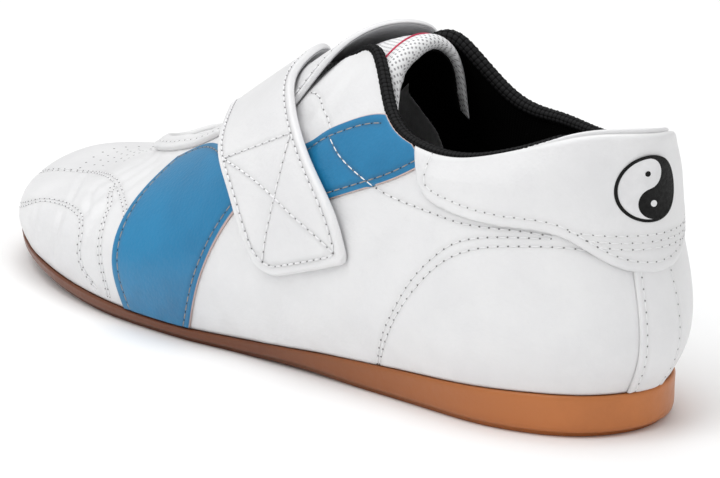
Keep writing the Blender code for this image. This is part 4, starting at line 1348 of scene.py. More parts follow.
class Upper:
    """Vamp and quarters: leather outside, two linings inside, and a knit binding on the collar."""

    ROWS = 110
    COLUMNS = 640
    LEATHER = 1.1
    WALL = 2.2
    TROUGH = 0.25
    SUNK = 0.12
    SECTION_LENGTH = 75
    BINDING_ENDS = (-7.75, 7.75)
    BINDING_RADIUS = ((0.0, 1.1, 1.7, 2.6, 3.6, 5.0, 6.4, 7.4), (0.4, 0.5, 1.0, 1.4, 1.8, 2.05, 1.9, 1.3))
    BINDING_RISE = ((0.0, 1.1, 1.7, 8.0), (0.97, 0.972, 0.996, 0.996))
    BINDING_STEPS = 1100
    BINDING_SIDES = 18
    BINDING_SUNK = 1.2
    BINDING_FLAT = 0.85
    LOOP = 1.5
    NUB = 0.07
    LINING_SPLIT = ((0.50, 0.75), (6.85, 7.50))
    CLOTH_AROUND = 0.62
    CLOTH_UP = 0.075
    PINHOLE_GRID = (5, 9)
    PINHOLE_STEPS = (0.06, 0.36)
    PINHOLE_RISE = 0.42
    PINHOLE_RADIUS = 0.32
    PINHOLE_LIFTS = (-0.22, 0.03)

    def __init__(self, last: Last) -> None:
        """Cuts the upper from a last."""
        self.last = last

    def seam_paths(self) -> list[tuple[Path, Needle]]:
        """Every sewn row on the upper, on both sides.

        Returns:
            Points and normals of each row, and its needle.
        """
        rows = []
        for seam in SEAMS:
            line = np.array(seam.line)
            for part in (line, line * (-1, 1) + (LAST_SECTION, 0)):
                rows.append((self.last.worn.path(*self.last.trace(part), -self.SUNK * MM), seam.needle))
        return rows

    def build_leather(self, material: bpy.types.Material,
                      rows: list[tuple[Path, Needle]]) -> bpy.types.Object:
        """The leather wall: the last's sheet with sewn troughs, a rolled top edge and a thin back.

        Args:
            material: The finish.
            rows: Sewn rows and their needles.

        Returns:
            The new piece.
        """
        around = (np.arange(self.COLUMNS) / self.COLUMNS)[None, :]
        edge = 0.5 * self.LEATHER / self.SECTION_LENGTH
        rise = np.linspace(0, 1 - edge, self.ROWS)[:, None]
        outside = self.last.worn.skin(around, rise)
        away = np.full(outside.shape[:2], np.inf)
        for (points, _), needle in rows:
            distance = distance_to(outside, points[::4]) / MM
            away = np.minimum(away, np.abs(distance - needle.spread / 2))
        outside = self.last.worn.skin(around, rise, -self.TROUGH * MM * bell(away, TROUGH_WIDTH))
        turn = np.linspace(0, math.pi, 8)[1:-1, None]
        lip = self.last.worn.skin(around, 1 - edge * (1 - np.sin(turn)),
                                  -0.5 * self.LEATHER * MM * (1 - np.cos(turn)))
        back = self.last.worn.skin(around, np.linspace(1 - edge, 0, 20)[:, None], -self.LEATHER * MM)
        sheets = np.concatenate([outside, lip, back])
        seam = np.zeros(sheets.shape[:2])
        # Nearness to a sewn row, where the leather gets painted shade.
        seam[:self.ROWS] = bell(away, SEAM_SHADE_WIDTH)
        piece = Finishable.loft("upper_leather", sheets, material, joined=True, seam=seam)
        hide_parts("upper")
        return piece

    def build_lining(self, collar: bpy.types.Material, vamp: bpy.types.Material) -> None:
        """The lining inside the leather: black knit round the collar, pale cloth in front of it.

        Args:
            collar: Finish of the part behind the split.
            vamp: Finish of the part in front of the split.
        """
        rise = np.linspace(0.004, 0.985, 60)[None, :]
        split = np.interp(rise, *self.LINING_SPLIT)
        share = np.linspace(0, 1, 300)[:, None]
        for name, begin, stop, material in (("collar_lining", -split, split, collar),
                                            ("vamp_lining", split, LAST_SECTION - split, vamp)):
            around = self.last.around(begin + share * (stop - begin))
            cloth = np.stack(np.broadcast_arrays(around * self.CLOTH_AROUND, rise * self.CLOTH_UP), -1)
            under, over = (self.last.worn.skin(around, rise, -depth * MM)
                           for depth in (self.WALL, self.LEATHER + 0.05))
            Finishable.slab(name, under, over, material, uv=cloth)

    def build_binding(self, material: bpy.types.Material) -> bpy.types.Object:
        """A soft knit roll along the collar's edge: thinner round the heel, nubbed by its loops.

        Args:
            material: The finish.

        Returns:
            The new piece.
        """
        section = np.linspace(*self.BINDING_ENDS, self.BINDING_STEPS)
        around = self.last.around(section)
        radius = np.interp(np.abs(section), *self.BINDING_RADIUS) * MM
        rise = np.interp(np.abs(section), *self.BINDING_RISE)
        centre = self.last.worn.skin(around, rise, -self.BINDING_SUNK * MM)
        side = self.last.worn.facing(around, np.full(around.shape, 0.99))
        ahead = unit(np.gradient(centre, axis=0))
        up = unit(np.cross(ahead, side))
        up = up * np.sign(up[:, 2:3])
        turn = circle(self.BINDING_SIDES)
        run = run_of(centre)
        walked = run[:, None] / MM
        wave = np.sin(walked * 2 * math.pi / self.LOOP + 3 * turn) * np.cos(6 * turn + walked)
        radius = radius[:, None] * (1 + self.NUB * wave)
        height = self.BINDING_FLAT * np.sin(turn)[:, None] * up[:, None]
        rings = centre[:, None] + radius[..., None] * (np.cos(turn)[:, None] * side[:, None] + height)
        cloth = np.stack(np.broadcast_arrays(run[:, None], (turn * 0.0018)[None, :]), -1)
        return Finishable.loft("collar_binding", rings, material, capped=True, uv=cloth)

    def build_pinholes(self, material: bpy.types.Material) -> bpy.types.Object:
        """Small round holes over the toe: flat grey discs just above the leather, in offset rows, whose grey
        is painted shade inside the holes.

        Args:
            material: The finish.

        Returns:
            The new piece.
        """
        row, col = np.meshgrid(*map(np.arange, self.PINHOLE_GRID), indexing="ij")
        rise_step, section_step = self.PINHOLE_STEPS
        section = TOE_SECTION + (col - self.PINHOLE_GRID[1] // 2 + 0.5 * (row % 2)) * section_step
        rise = self.PINHOLE_RISE + row * rise_step
        around, rise = self.last.around(section.ravel()), rise.ravel()
        ring = rings_round(self.last.worn.facing(around, rise), (0.0, 1.0, 0.0), self.PINHOLE_RADIUS, 8)
        discs = [self.last.worn.skin(around, rise, lift * MM)[:, None] + ring for lift in self.PINHOLE_LIFTS]
        return Finishable.swarm("vamp_pinholes", np.concatenate(discs, 1), len(discs), material)


class Panels:
    """The overlays on the upper: heel cuff, backstay, eyestay and the blue side panels."""

    TOP_RISE = 0.985
    LOW_RISE = 0.003
    BACKSTAY_HALF_WIDTH = 7.3
    BACKSTAY_MIDDLE = 0.8
    EYESTAY_WIDTH = 6.9
    EYESTAY_REAR = 9.3
    CUFF_ROW = (2.8, 6.2, 0.97)
    STAY_ROW = (1.9, 0.02, 0.97)
    TAB_ROW = 2.6
    BLUE_ROW = 2.2
    SADDLE_ROWS = (2.4, 2.8)
    SADDLE_LOWER = (8.05, 9.25)
    SADDLE_UPPER = ((129.0, 49.0), (150.0, 52.4), (170.0, 49.8), (185.0, 42.6))
    FACING_LOWER = ((67.5, 66.3), (77.0, 60.8), (90.0, 55.2), (109.0, 46.8))
    FACING_UPPER = ((71.5, 69.8), (84.0, 75.2), (99.0, 72.6), (121.0, 59.3))

    HEEL_ROWS = (
        ((1.16, 0.632), (0.80, 0.618), (0.40, 0.611), (0.0, 0.608)),
        ((0.96, 0.600), (0.70, 0.591), (0.36, 0.585), (0.0, 0.583)),
        ((0.82, 0.576), (0.60, 0.567), (0.32, 0.560), (0.0, 0.558)),
    )
    CROSSING_ROW = ((5.50, 0.745), (5.2, 0.754), (4.87, 0.762), (4.39, 0.758), (3.97, 0.742))

    def __init__(self, last: Last) -> None:
        """Cuts the overlays from a last."""
        self.last = last

    def cuff(self) -> Overlay:
        """Padded collar overlay round the heel, with a lobe over the backstay.

        Returns:
            The overlay.
        """
        rows = np.concatenate([CUFF_EDGE[:0:-1] * (-1, 1, -1), CUFF_EDGE])
        section, up, top = spline(np.arange(len(rows)), rows, np.linspace(0, len(rows) - 1, 300)).T
        low = self.last.around(section)
        high = self.last.around(top)
        return Overlay("heel_cuff", self.last, np.column_stack([low, self.last.rise_at(low, up)]),
                       level(high, self.TOP_RISE), thickness=1.6, pad=0.9, roll=1.8, grid=(60, 300))

    def backstay(self) -> Overlay:
        """Raised strip down the heel's middle, up to the cuff's lobe.

        Returns:
            The overlay.
        """
        heel = self.last.bare.read(self.last.draft, np.array([0, 1]) / DENSE_AROUND, np.full(2, 0.4))
        pace = np.linalg.norm(heel[1] - heel[0]) * DENSE_AROUND
        around = (self.BACKSTAY_MIDDLE + np.linspace(-1, 1, 60) * self.BACKSTAY_HALF_WIDTH) / pace
        top = self.last.rise_at(around, np.full(around.shape, CUFF_EDGE[:, 1].min() + 3.5))
        return Overlay("backstay", self.last, level(around, self.LOW_RISE),
                       np.column_stack([around, top]), thickness=0.9, pad=0.1, grid=(60, 40))

    def eyestay(self) -> Overlay:
        """Rounded strip around the front end of the throat.

        Returns:
            The overlay.
        """
        around = self.last.around(np.linspace(self.EYESTAY_REAR, LAST_SECTION - self.EYESTAY_REAR, 200))
        low = self.last.rise_below_top(around, self.EYESTAY_WIDTH)
        return Overlay("eyestay", self.last, np.column_stack([around, low]),
                       level(around, self.TOP_RISE), thickness=1.5, pad=0.35, roll=0.9, grid=(24, 220))

    def saddle(self, side: Side) -> Overlay:
        """Blue panel in front of the strap, from the sole up to the eyestay.

        Args:
            side: Outer or inner side.

        Returns:
            The overlay.
        """
        at = np.linspace(0, 1, 120)
        section = self.SADDLE_LOWER[0] + at * (self.SADDLE_LOWER[1] - self.SADDLE_LOWER[0])
        low = self.last.around(section if side is Side.OUTER else LAST_SECTION - section)
        upper = spline(np.linspace(0, 1, len(self.SADDLE_UPPER)), np.array(self.SADDLE_UPPER), at)
        high = np.column_stack(self.last.locate(side, upper[:, 0], upper[:, 1]))
        return Overlay(f"saddle_{side.value}", self.last, level(low, self.LOW_RISE), high,
                       thickness=0.9, grid=(80, 60), slot="blue_leather")

    def facing(self, side: Side) -> Overlay:
        """Blue panel behind the strap, up to the collar.

        Args:
            side: Outer or inner side.

        Returns:
            The overlay.
        """
        at = np.linspace(0, 1, 120)
        edges = []
        for line in (self.FACING_LOWER, self.FACING_UPPER):
            spots = spline(np.linspace(0, 1, len(line)), np.array(line), at)
            around, rise = self.last.locate(side, spots[:, 0], spots[:, 1])
            edges.append(np.column_stack([around, np.minimum(rise, self.TOP_RISE)]))
        return Overlay(f"facing_{side.value}", self.last, *edges,
                       thickness=0.6, pad=0.15, grid=(44, 80), slot="blue_leather")

    def build(self, wardrobe: Wardrobe, pale: Stitching, dark: Stitching) -> Overlay:
        """Builds every overlay and sews its rows.

        Args:
            wardrobe: The finishes by key.
            pale: Takes the rows on white leather.
            dark: Takes the rows on blue leather.

        Returns:
            The heel cuff, which carries the round ornament.
        """
        cuff = self.cuff()
        rows = [cuff.border_row(*self.CUFF_ROW)]
        rows += [cuff.free_row(line + tuple((-section, rise) for section, rise in line[-2::-1]))
                 for line in self.HEEL_ROWS]
        self.finish(cuff, rows, wardrobe["white"], pale)
        stay = self.backstay()
        inset, start, end = self.STAY_ROW
        rows = [stay.end_row(inset, far, start, end) for far in (False, True)]
        self.finish(stay, rows, wardrobe["white"], pale)
        tab = self.eyestay()
        self.finish(tab, [tab.edge_row(self.TAB_ROW)], wardrobe["white"], pale)
        for side in (Side.OUTER, Side.INNER):
            saddle = self.saddle(side)
            rows = [saddle.end_row(self.SADDLE_ROWS[0], False), saddle.end_row(self.SADDLE_ROWS[1], True),
                    saddle.edge_row(self.BLUE_ROW, upper=True, start=0.05, end=0.95)]
            self.finish(saddle, rows, wardrobe["blue"], dark)
            facing = self.facing(side)
            rows = [facing.edge_row(self.BLUE_ROW), facing.edge_row(self.BLUE_ROW, upper=True, start=0.35)]
            crossing = facing.free_row(tuple(
                (section if side is Side.OUTER else LAST_SECTION - section, rise)
                for section, rise in self.CROSSING_ROW))
            self.finish(facing, rows, wardrobe["blue"], dark, [crossing])
            pale.sew(crossing)
        return cuff

    @staticmethod
    def finish(overlay: Overlay, rows: list[Path], material: bpy.types.Material, stitching: Stitching,
               others: list[Path] | None = None) -> None:
        """Builds one overlay, sews its rows and leaves troughs for rows in another thread.

        Args:
            overlay: The overlay.
            rows: Rows that lie on it.
            material: Its finish.
            stitching: Takes the rows.
            others: Rows that another thread sews.
        """
        piece = overlay.build(material, rows + (others or []))
        for row in rows:
            stitching.sew(row)


@dataclass
class Ply:
    """A strap ply: laid on the outer side, bridged over the throat and laid on the inner side.

    A place on it is (u, w): u runs from the outer to the inner end, w from the front to the rear edge.
    """

    name: str
    node: str
    last: Last
    table: tuple[PlyRow, ...]
    thickness: float
    corners: tuple[float, float]
    grid: tuple[int, int] = (220, 60)
    lining: float = 0.45
    bead: float = 0.18
    inner_corners: tuple[float, float] = (3.0, 3.0)

    ACROSS = 25
    ALONG = 240
    SIDE_STEPS = 5
    TROUGH = 0.25
    ROLL = 1.0
    FOOT = 0.35
    BEAD_AT = 1.2
    BEAD_WIDTH = 0.9
    CROWN_WIDTH = 9.0
    FELT_INSET = 0.6

    def __post_init__(self) -> None:
        """Joins the rows of the table by a spline along the ply."""
        share = np.linspace(0, 1, self.ACROSS)[:, None]
        lines = []
        for where, rows in groupby(self.table, key=lambda row: row[0]):
            values = np.array([(*front, *rear, lift) for _, front, rear, lift in rows])
            if where is not Side.FREE:
                steps = np.linspace(0, len(values) - 1, (len(values) - 1) * self.SIDE_STEPS + 1)
                values = spline(np.arange(len(values)), values, steps)
            for value in values:
                edges = value[:3] + share * (value[3:6] - value[:3])
                if where is Side.FREE:
                    lines.append(place(edges))
                else:
                    lines.append(self.last.bare.skin(*self.last.locate(where, edges[:, 0], edges[:, 2]),
                                                     value[6] * MM))
        lines = np.array(lines)
        pace = np.linalg.norm(np.diff(lines, axis=0), axis=2).mean(axis=1)
        knots = totals(pace) / pace.sum()
        fine = spline(knots, lines.reshape(len(lines), -1), np.linspace(0, 1, self.ALONG))
        under = fine.reshape(self.ALONG, self.ACROSS, 3)
        slope_along, slope_across = np.gradient(under, axis=(0, 1))
        self.sheet = Sheet(under, unit(np.cross(slope_across, slope_along)))
        self.length = pace.sum() / MM
        self.width = np.linalg.norm(under[:, -1] - under[:, 0], axis=1).mean() / MM

    def ends(self, w: Array, inset: float = 0.0) -> list[Array]:
        """Where the ply begins and stops: both ends have two round corners.

        Args:
            w: Places from the front to the rear edge.
            inset: Millimetres from the border.

        Returns:
            The first and the last u at each w.
        """
        half = self.width / 2 - inset
        cuts = []
        for corners in (self.corners, self.inner_corners):
            radius = np.maximum(np.where(w < 0.5, *corners) - inset, 0.5)
            over = np.clip(np.abs(w - 0.5) * self.width - (half - radius), 0, radius)
            cuts.append((inset + radius - np.sqrt(np.maximum(radius ** 2 - over ** 2, 0))) / self.length)
        return [cuts[0], 1 - cuts[1]]

    def places(self, share: Array, w: Array, inset: float = 0.0) -> tuple[Array, Array]:
        """(u, w) of a grid that follows the round corners."""
        across = inset / self.width + w * (1 - 2 * inset / self.width)
        begin, stop = self.ends(across, inset)
        return np.broadcast_arrays(begin + share * (stop - begin), across)

    def row(self, line: tuple[tuple[float, float], ...]) -> Path:
        """Points and normals of a sewn row through places (u, w) on the top side."""
        spots = np.array(line)
        fine = np.linspace(0, 1, 200)
        u, w = read_path(fine, chord(spots * (self.length, self.width)), spots).T
        return self.sheet.path(u, w, (self.thickness - 0.05) * MM)

    def build(self, top: bpy.types.Material, back: bpy.types.Material, rows: list[Path]) -> bpy.types.Object:
        """The leather ply with a beaded edge and sewn troughs, and a felt back under it.

        Args:
            top: Finish of the leather.
            back: Finish of the underside.
            rows: Sewn rows on the top side.

        Returns:
            The leather piece.
        """
        share = ease(self.grid[0], 0.35)[:, None]
        w = ease(self.grid[1])[None, :]
        u, across = self.places(share, w)
        begin, stop = self.ends(across)
        inside = np.minimum(np.minimum(across, 1 - across) * self.width,
                            np.minimum(u - begin, stop - u) * self.length)
        bead = self.bead * bell(inside - self.BEAD_AT, self.BEAD_WIDTH)
        crown = self.bead * (1 - bell(inside, self.CROWN_WIDTH))
        lift = (self.thickness - self.bead) * rolled(inside, self.ROLL, self.FOOT) + bead + crown
        away = row_distance(self.sheet.skin(u, across, lift * MM), rows, 4)
        lift = lift - self.TROUGH * bell(away, TROUGH_WIDTH)
        under = self.sheet.skin(u, across, self.lining * MM)
        # The ply's seam values give painted shade along its sewn rows.
        piece = Finishable.slab(self.name, under, self.sheet.skin(u, across, lift * MM), top,
                                seam=bell(away, SEAM_SHADE_WIDTH))
        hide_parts(self.node)
        u, across = self.places(np.linspace(0, 1, 120)[:, None], np.linspace(0, 1, 24)[None, :],
                                self.FELT_INSET)
        Finishable.slab(self.name.replace("leather", "felt"), self.sheet.skin(u, across, 0.0),
                        self.sheet.skin(u, across, self.lining * MM), back)
        return piece


class Tongue:
    """Tongue under the throat: white mesh with a round padded rim, black lining and a red piping."""

    WALL = 2.2
    CLEARANCE = 1.6
    SHEET = 2.4
    RIM = 5.2
    RIM_WIDTH = 9.0
    CREST_ACROSS = 1.0
    ACROSS = 41
    ALONG = 160
    SKIN = 0.4
    LINING = (-0.1, 0.45)
    PIPING = 0.30
    PIPING_AT = 0.55
    PIPING_LIFT = 0.15

    def __init__(self, last: Last) -> None:
        """Joins the rows across the tongue by a spline along it.

        Args:
            last: The last whose throat the tongue lies under.
        """
        rows = [self.section(last, *row) for row in TONGUE_ROWS] + [place(TONGUE_RIM_LINE)]
        across = np.linspace(0, 1, self.ACROSS)
        control = np.array([spline(chord(row), row, across) for row in rows])
        run = run_of(control[:, self.ACROSS // 2])
        self.length = run[-1]
        fine = spline(run / run[-1], control.reshape(len(rows), -1), np.linspace(0, 1, self.ALONG))
        over = fine.reshape(self.ALONG, self.ACROSS, 3)
        slope_along, slope_across = np.gradient(over, axis=(0, 1))
        self.sheet = Sheet(over, unit(np.cross(slope_along, slope_across)))

    def section(self, last: Last, edge: float, edge_rise: float, fold: float, fold_rise: float,
                crest_along: float, crest_up: float) -> Array:
        """One row across: outer edge, outer fold, crest, inner fold and inner edge.

        Args:
            last: The last.
            edge: Section of the edge.
            edge_rise: Rise of the edge.
            fold: Section of the fold at the throat.
            fold_rise: Rise of the fold.
            crest_along: Where the crest is along the foot, millimetres.
            crest_up: Height of the crest, millimetres.

        Returns:
            Five points, metres.
        """
        sections = np.array([edge, fold, LAST_SECTION - fold, LAST_SECTION - edge])
        rises = np.array([edge_rise, fold_rise, fold_rise, edge_rise])
        sides = last.bare.skin(last.around(sections), rises, -(self.WALL + self.CLEARANCE) * MM)
        crest = place((crest_along, self.CREST_ACROSS, crest_up))
        return np.vstack([sides[:2], crest, sides[2:]])

    def depth(self, at: Array) -> Array:
        """Thickness along the tongue: a thin sheet that swells to the padded rim, metres."""
        swell = np.clip((at - 1) * self.length / (self.RIM_WIDTH * MM) + 1, 0, 1)
        return (self.SHEET + np.sin(swell * math.pi / 2) * (self.RIM - self.SHEET)) * MM

    @staticmethod
    def fullness(across: Array) -> Array:
        """Share of the padding across the tongue: full on the outer side, thin at both ends."""
        return np.interp(across, (0.0, 0.05, 0.14, 0.35, 0.5, 0.7, 0.9, 1.0),
                         (0.35, 0.8, 1.25, 1.2, 0.95, 0.75, 0.55, 0.25))

    @staticmethod
    def puff(at: Array, across: Array) -> Array:
        """How far the padding bulges up inside the throat, under the strap: a bell across, metres."""
        along = np.interp(at, (0.12, 0.26, 0.50, 0.64, 0.76, 0.88), (0.0, 3.2, 4.2, 3.0, 1.2, 0.0))
        return along[:, None] * np.sin(math.pi * across) ** 4 * MM

    def build(self, wardrobe: Wardrobe) -> None:
        """The mesh body with a rounded rim, the lining inside it and the piping.

        Args:
            wardrobe: The finishes by key.
        """
        half = self.RIM * MM / 2 / self.length
        bend = np.sin(np.linspace(0, math.pi / 2, 10))[1:]
        at = np.concatenate([np.linspace(0, 1 - half, 110), 1 - half * (1 - bend)])
        across = ease(90, 0.3)[None, :]
        end = np.clip((at - (1 - half)) / half, 0, 1)
        round_off = np.sqrt(np.maximum(1 - end ** 2, 0.0))
        depth = self.depth(at)[:, None] * self.fullness(across)
        top = self.puff(at, across) - depth / 2 * (1 - round_off[:, None])
        skin = self.SKIN * MM
        bottom = -depth + skin + (depth / 2 - skin) * (1 - round_off[:, None])
        over = self.sheet.skin(at[:, None], across, top)
        under = self.sheet.skin(at[:, None], across, np.minimum(bottom, top - 0.05 * MM))
        along, aside = (
            np.linalg.norm(np.diff(over, axis=axis, prepend=over.take([0], axis)), axis=2).cumsum(axis)
            for axis in (0, 1))
        cloth = np.stack([along, aside - aside[:, -1:] / 2], -1)
        piece = Finishable.slab("tongue_mesh", under, over, wardrobe["mesh"], uv=cloth)
        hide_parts("tongue")
        at = np.linspace(0, 1 - 0.9 * half, 90)
        depth = self.depth(at)[:, None] * self.fullness(across)
        cloth = np.stack(np.broadcast_arrays(at[:, None] * self.length, across * 0.07), -1)
        under, over = (self.sheet.skin(at[:, None], across, lift * MM - depth) for lift in self.LINING)
        Finishable.slab("tongue_lining", under, over, wardrobe["lining"], uv=cloth)
        self.build_piping(wardrobe["piping"])

    def build_piping(self, material: bpy.types.Material) -> None:
        """A thin red cord sewn along the front of the rim: a circle carried along a line of the sheet.

        Args:
            material: The finish.
        """
        across = np.linspace(0.0, 1.0, 160)
        at = np.full(across.shape, 1 - self.PIPING_AT * self.RIM_WIDTH * MM / self.length)
        line, normal = self.sheet.path(at, across, self.PIPING_LIFT * MM)
        beside = np.cross(normal, unit(np.gradient(line, axis=0)))
        turn = circle(10)[:, None]
        rings = line[:, None] + self.PIPING * MM * (np.cos(turn) * normal[:, None]
                                                    + np.sin(turn) * beside[:, None])
        Finishable.loft("tongue_piping", rings, material, capped=True)


class Sole:
    """Gum sole with a rounded side and a tucked tread, and the sock board inside."""

    TOE_SPRING = 7.7
    SPRING = (185.0, 272.0)
    WAIST = (82.0, 138.0)
    WAIST_LIFT = 0.8
    TREAD = 1.3
    TREAD_INSET = 1.3
    COUNT = 480
    SIDE = ((1.0, 0.9, 0.0), (1.0, 0.5, 0.0), (0.97, 0.2, 0.0), (0.90, 0.0, 0.0), (0.74, 0.1, 0.0),
            (0.62, 0.15, 0.0), (0.50, 0.2, 0.0), (0.32, 0.2, 0.0), (0.16, 0.3, 0.0),
            (0.05, 0.5, 0.1), (0.0, 0.8, 0.4), (0.0, 1.0, 1.0))
    FILL = (0.9, 0.75, 0.5, 0.25, 0.0)
    BOARD_INSET = 3.5
    BOARD = ((2.4, -0.5), (2.2, -0.1), (1.6, 0.0), (0.0, 0.0))

    def __init__(self, last: Last) -> None:
        """Takes the outline from a last."""
        self.outline = spline(last.knots, last.rim, np.arange(self.COUNT) / self.COUNT, 1.0)
        self.normal = outward(self.outline)

    def tread_up(self, along: Array) -> Array:
        """Height of the tread: flat, a little raised at the waist, sprung up at the toe."""
        spring = np.clip((along - self.SPRING[0]) / (self.SPRING[1] - self.SPRING[0]), 0, None)
        waist = np.clip((along - self.WAIST[0]) / (self.WAIST[1] - self.WAIST[0]), 0, 1)
        return self.TOE_SPRING * spring ** 1.5 + self.WAIST_LIFT * np.sin(math.pi * waist) ** 2

    def fill(self, ring: Array) -> Array:
        """Rings that shrink from a ring to the foot's middle line."""
        spine = 0.5 * (ring + np.roll(ring[::-1], 1, 0))
        share = np.array(self.FILL)[:, None, None]
        return spine + share * (ring - spine)

    def build(self, wardrobe: Wardrobe) -> None:
        """The sole from its top face round its side to its tread, and the sock board.

        Args:
            wardrobe: The finishes by key.
        """
        tuck = np.interp(self.outline[:, 0], RIM_PROFILE[:, 0], RIM_PROFILE[:, 2])[:, None]
        rings = []
        for share, inset, tuck_share in self.SIDE:
            plan = self.outline - (inset + tuck * tuck_share) * self.normal
            foot = self.tread_up(plan[:, 0]) + self.TREAD
            rings.append(np.column_stack([plan, foot + share * (rim_up(plan[:, 0]) - foot)]))
        plan = self.outline - (tuck + self.TREAD_INSET) * self.normal
        tread = np.column_stack([plan, self.tread_up(plan[:, 0])])
        sheets = np.concatenate([self.fill(rings[0])[::-1], np.array(rings), tread[None], self.fill(tread)])
        sole = Finishable.loft("gum_sole", place(sheets), wardrobe["gum"])
        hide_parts("outsole")
        plan = self.outline - self.BOARD_INSET * self.normal
        seat = rim_up(plan[:, 0]) + GAP
        levels = [np.column_stack([plan + out * self.normal, seat + height]) for height, out in self.BOARD]
        sheets = np.concatenate([self.fill(levels[0])[::-1], np.array(levels), self.fill(levels[-1])])
        board = Finishable.loft("sock_board", place(sheets), wardrobe["board"])
        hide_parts("insole")


@dataclass
class Ornament:
    """The traditional two-part disc printed on the heel cuff.

    A place on it is (side, up) in millimetres from its middle, laid on the cuff by straight steps.
    """

    cuff: Overlay
    section: float = 0.06
    rise: float = 0.784
    radius: float = 8.85
    ring: float = 0.75
    lean: float = 12.0

    INK = 0.25
    DARK_DOT = 0.8
    PALE_DOT = 0.95
    HIGHEST = 0.975

    def lay(self, side: Array, up: Array, lift: float) -> Array:
        """Points of the print on the cuff's top side.

        Args:
            side: Places to the side, millimetres.
            up: Places upwards, millimetres.
            lift: Millimetres off the cuff.

        Returns:
            Points, metres.
        """
        last = self.cuff.last
        middle = last.around(np.array([self.section]))
        aside, upward = 0.002, 0.01
        steps = last.bare.skin(middle + np.array([0.0, aside, 0.0]), self.rise + np.array([0.0, 0.0, upward]))
        pace_around = np.linalg.norm(steps[1] - steps[0]) / MM / aside
        pace_rise = np.linalg.norm(steps[2] - steps[0]) / MM / upward
        turn = math.radians(self.lean)
        around = middle - (side * math.cos(turn) - up * math.sin(turn)) / pace_around
        rise = self.rise + (up * math.cos(turn) + side * math.sin(turn)) / pace_rise
        top = GAP + self.cuff.thickness + self.cuff.pad + lift
        return last.worn.skin(around, np.minimum(rise, self.HIGHEST), top * MM)

    def patch(self, name: str, side: Array, up: Array, lift: float, material: bpy.types.Material) -> None:
        """A thin printed layer over a grid of places."""
        Finishable.slab(name, self.lay(side, up, lift - self.INK), self.lay(side, up, lift), material)

    @staticmethod
    def disc(centre: float, radius: float) -> tuple[Array, Array]:
        """Grid of a disc on the print's upright axis: rows of chords."""
        angle = np.linspace(-math.pi / 2, math.pi / 2, 30)[:, None]
        share = np.linspace(-1, 1, 20)[None, :]
        return np.broadcast_arrays(radius * np.cos(angle) * share, centre + radius * np.sin(angle))

    def build(self, wardrobe: Wardrobe) -> None:
        """White disc, black half bounded by two half circles, two dots and a black ring.

        Args:
            wardrobe: The finishes by key.
        """
        self.patch("ornament_disc", *self.disc(0.0, self.radius), 0.06, wardrobe["pale_ink"])
        up = self.radius * np.sin(np.linspace(-math.pi / 2, math.pi / 2, 90))[:, None]
        small = self.radius / 2
        bulge = np.sqrt(np.maximum(small ** 2 - (np.abs(up) - small) ** 2, 0))
        inner = np.where(up > 0, bulge, -bulge)
        outer = np.sqrt(np.maximum(self.radius ** 2 - up ** 2, 0))
        side = inner + np.linspace(0, 1, 24)[None, :] * (outer - inner)
        self.patch("ornament_half", side, np.broadcast_to(up, side.shape), 0.11, wardrobe["ink"])
        self.patch("ornament_dark_dot", *self.disc(small, self.DARK_DOT), 0.13, wardrobe["ink"])
        self.patch("ornament_pale_dot", *self.disc(-small, self.PALE_DOT), 0.16, wardrobe["pale_ink"])
        turn = np.linspace(0, 2 * math.pi, 121)[:, None]
        reach = self.radius + np.linspace(-0.1, self.ring, 5)[None, :]
        self.patch("ornament_ring", reach * np.sin(turn), reach * np.cos(turn), 0.12, wardrobe["ink"])


class Strapping:
    """The fastening strap over the instep and the band under it."""

    EDGES = (0.075, 0.925)
    BOX = (3.0, 41.0)
    REAR = 0.98

    def __init__(self, last: Last) -> None:
        """Lays both plies over a last."""
        self.strap = Ply("strap_leather", "strap", last, STRAP_ROWS, 2.4, (8.0, 3.0), grid=(260, 60))
        self.band = Ply("band_leather", "instep_band", last, BAND_ROWS, 1.8, (3.0, 3.0), grid=(140, 48),
                        lining=0.4)

    def build(self, wardrobe: Wardrobe, pale: Stitching) -> None:
        """Builds both plies and sews the strap's edge rows, its box and its cross.

        Args:
            wardrobe: The finishes by key.
            pale: Takes the rows.
        """
        near, far = self.EDGES
        begin, box = (mark / self.strap.length for mark in self.BOX)
        lines = (
            ((self.REAR, near), (begin + 0.035, near), (begin + 0.01, near + 0.05), (begin, near + 0.16),
             (begin, far - 0.03), (begin + 0.01, far), (self.REAR, far), (self.REAR, near)),
            ((box, near), (box, far)),
            ((begin + 0.012, near + 0.06), (box, far)),
            ((begin + 0.005, far - 0.01), (box, near)),
        )
        rows = [self.strap.row(line) for line in lines]
        self.strap.build(wardrobe["white"], wardrobe["felt"], rows)
        edges = [self.band.row(((0.03, 0.1), (0.97, 0.1), (0.97, 0.9), (0.03, 0.9), (0.03, 0.1)))]
        self.band.build(wardrobe["white"], wardrobe["felt"], edges)
        for row in rows + edges:
            pale.sew(row, FINE)


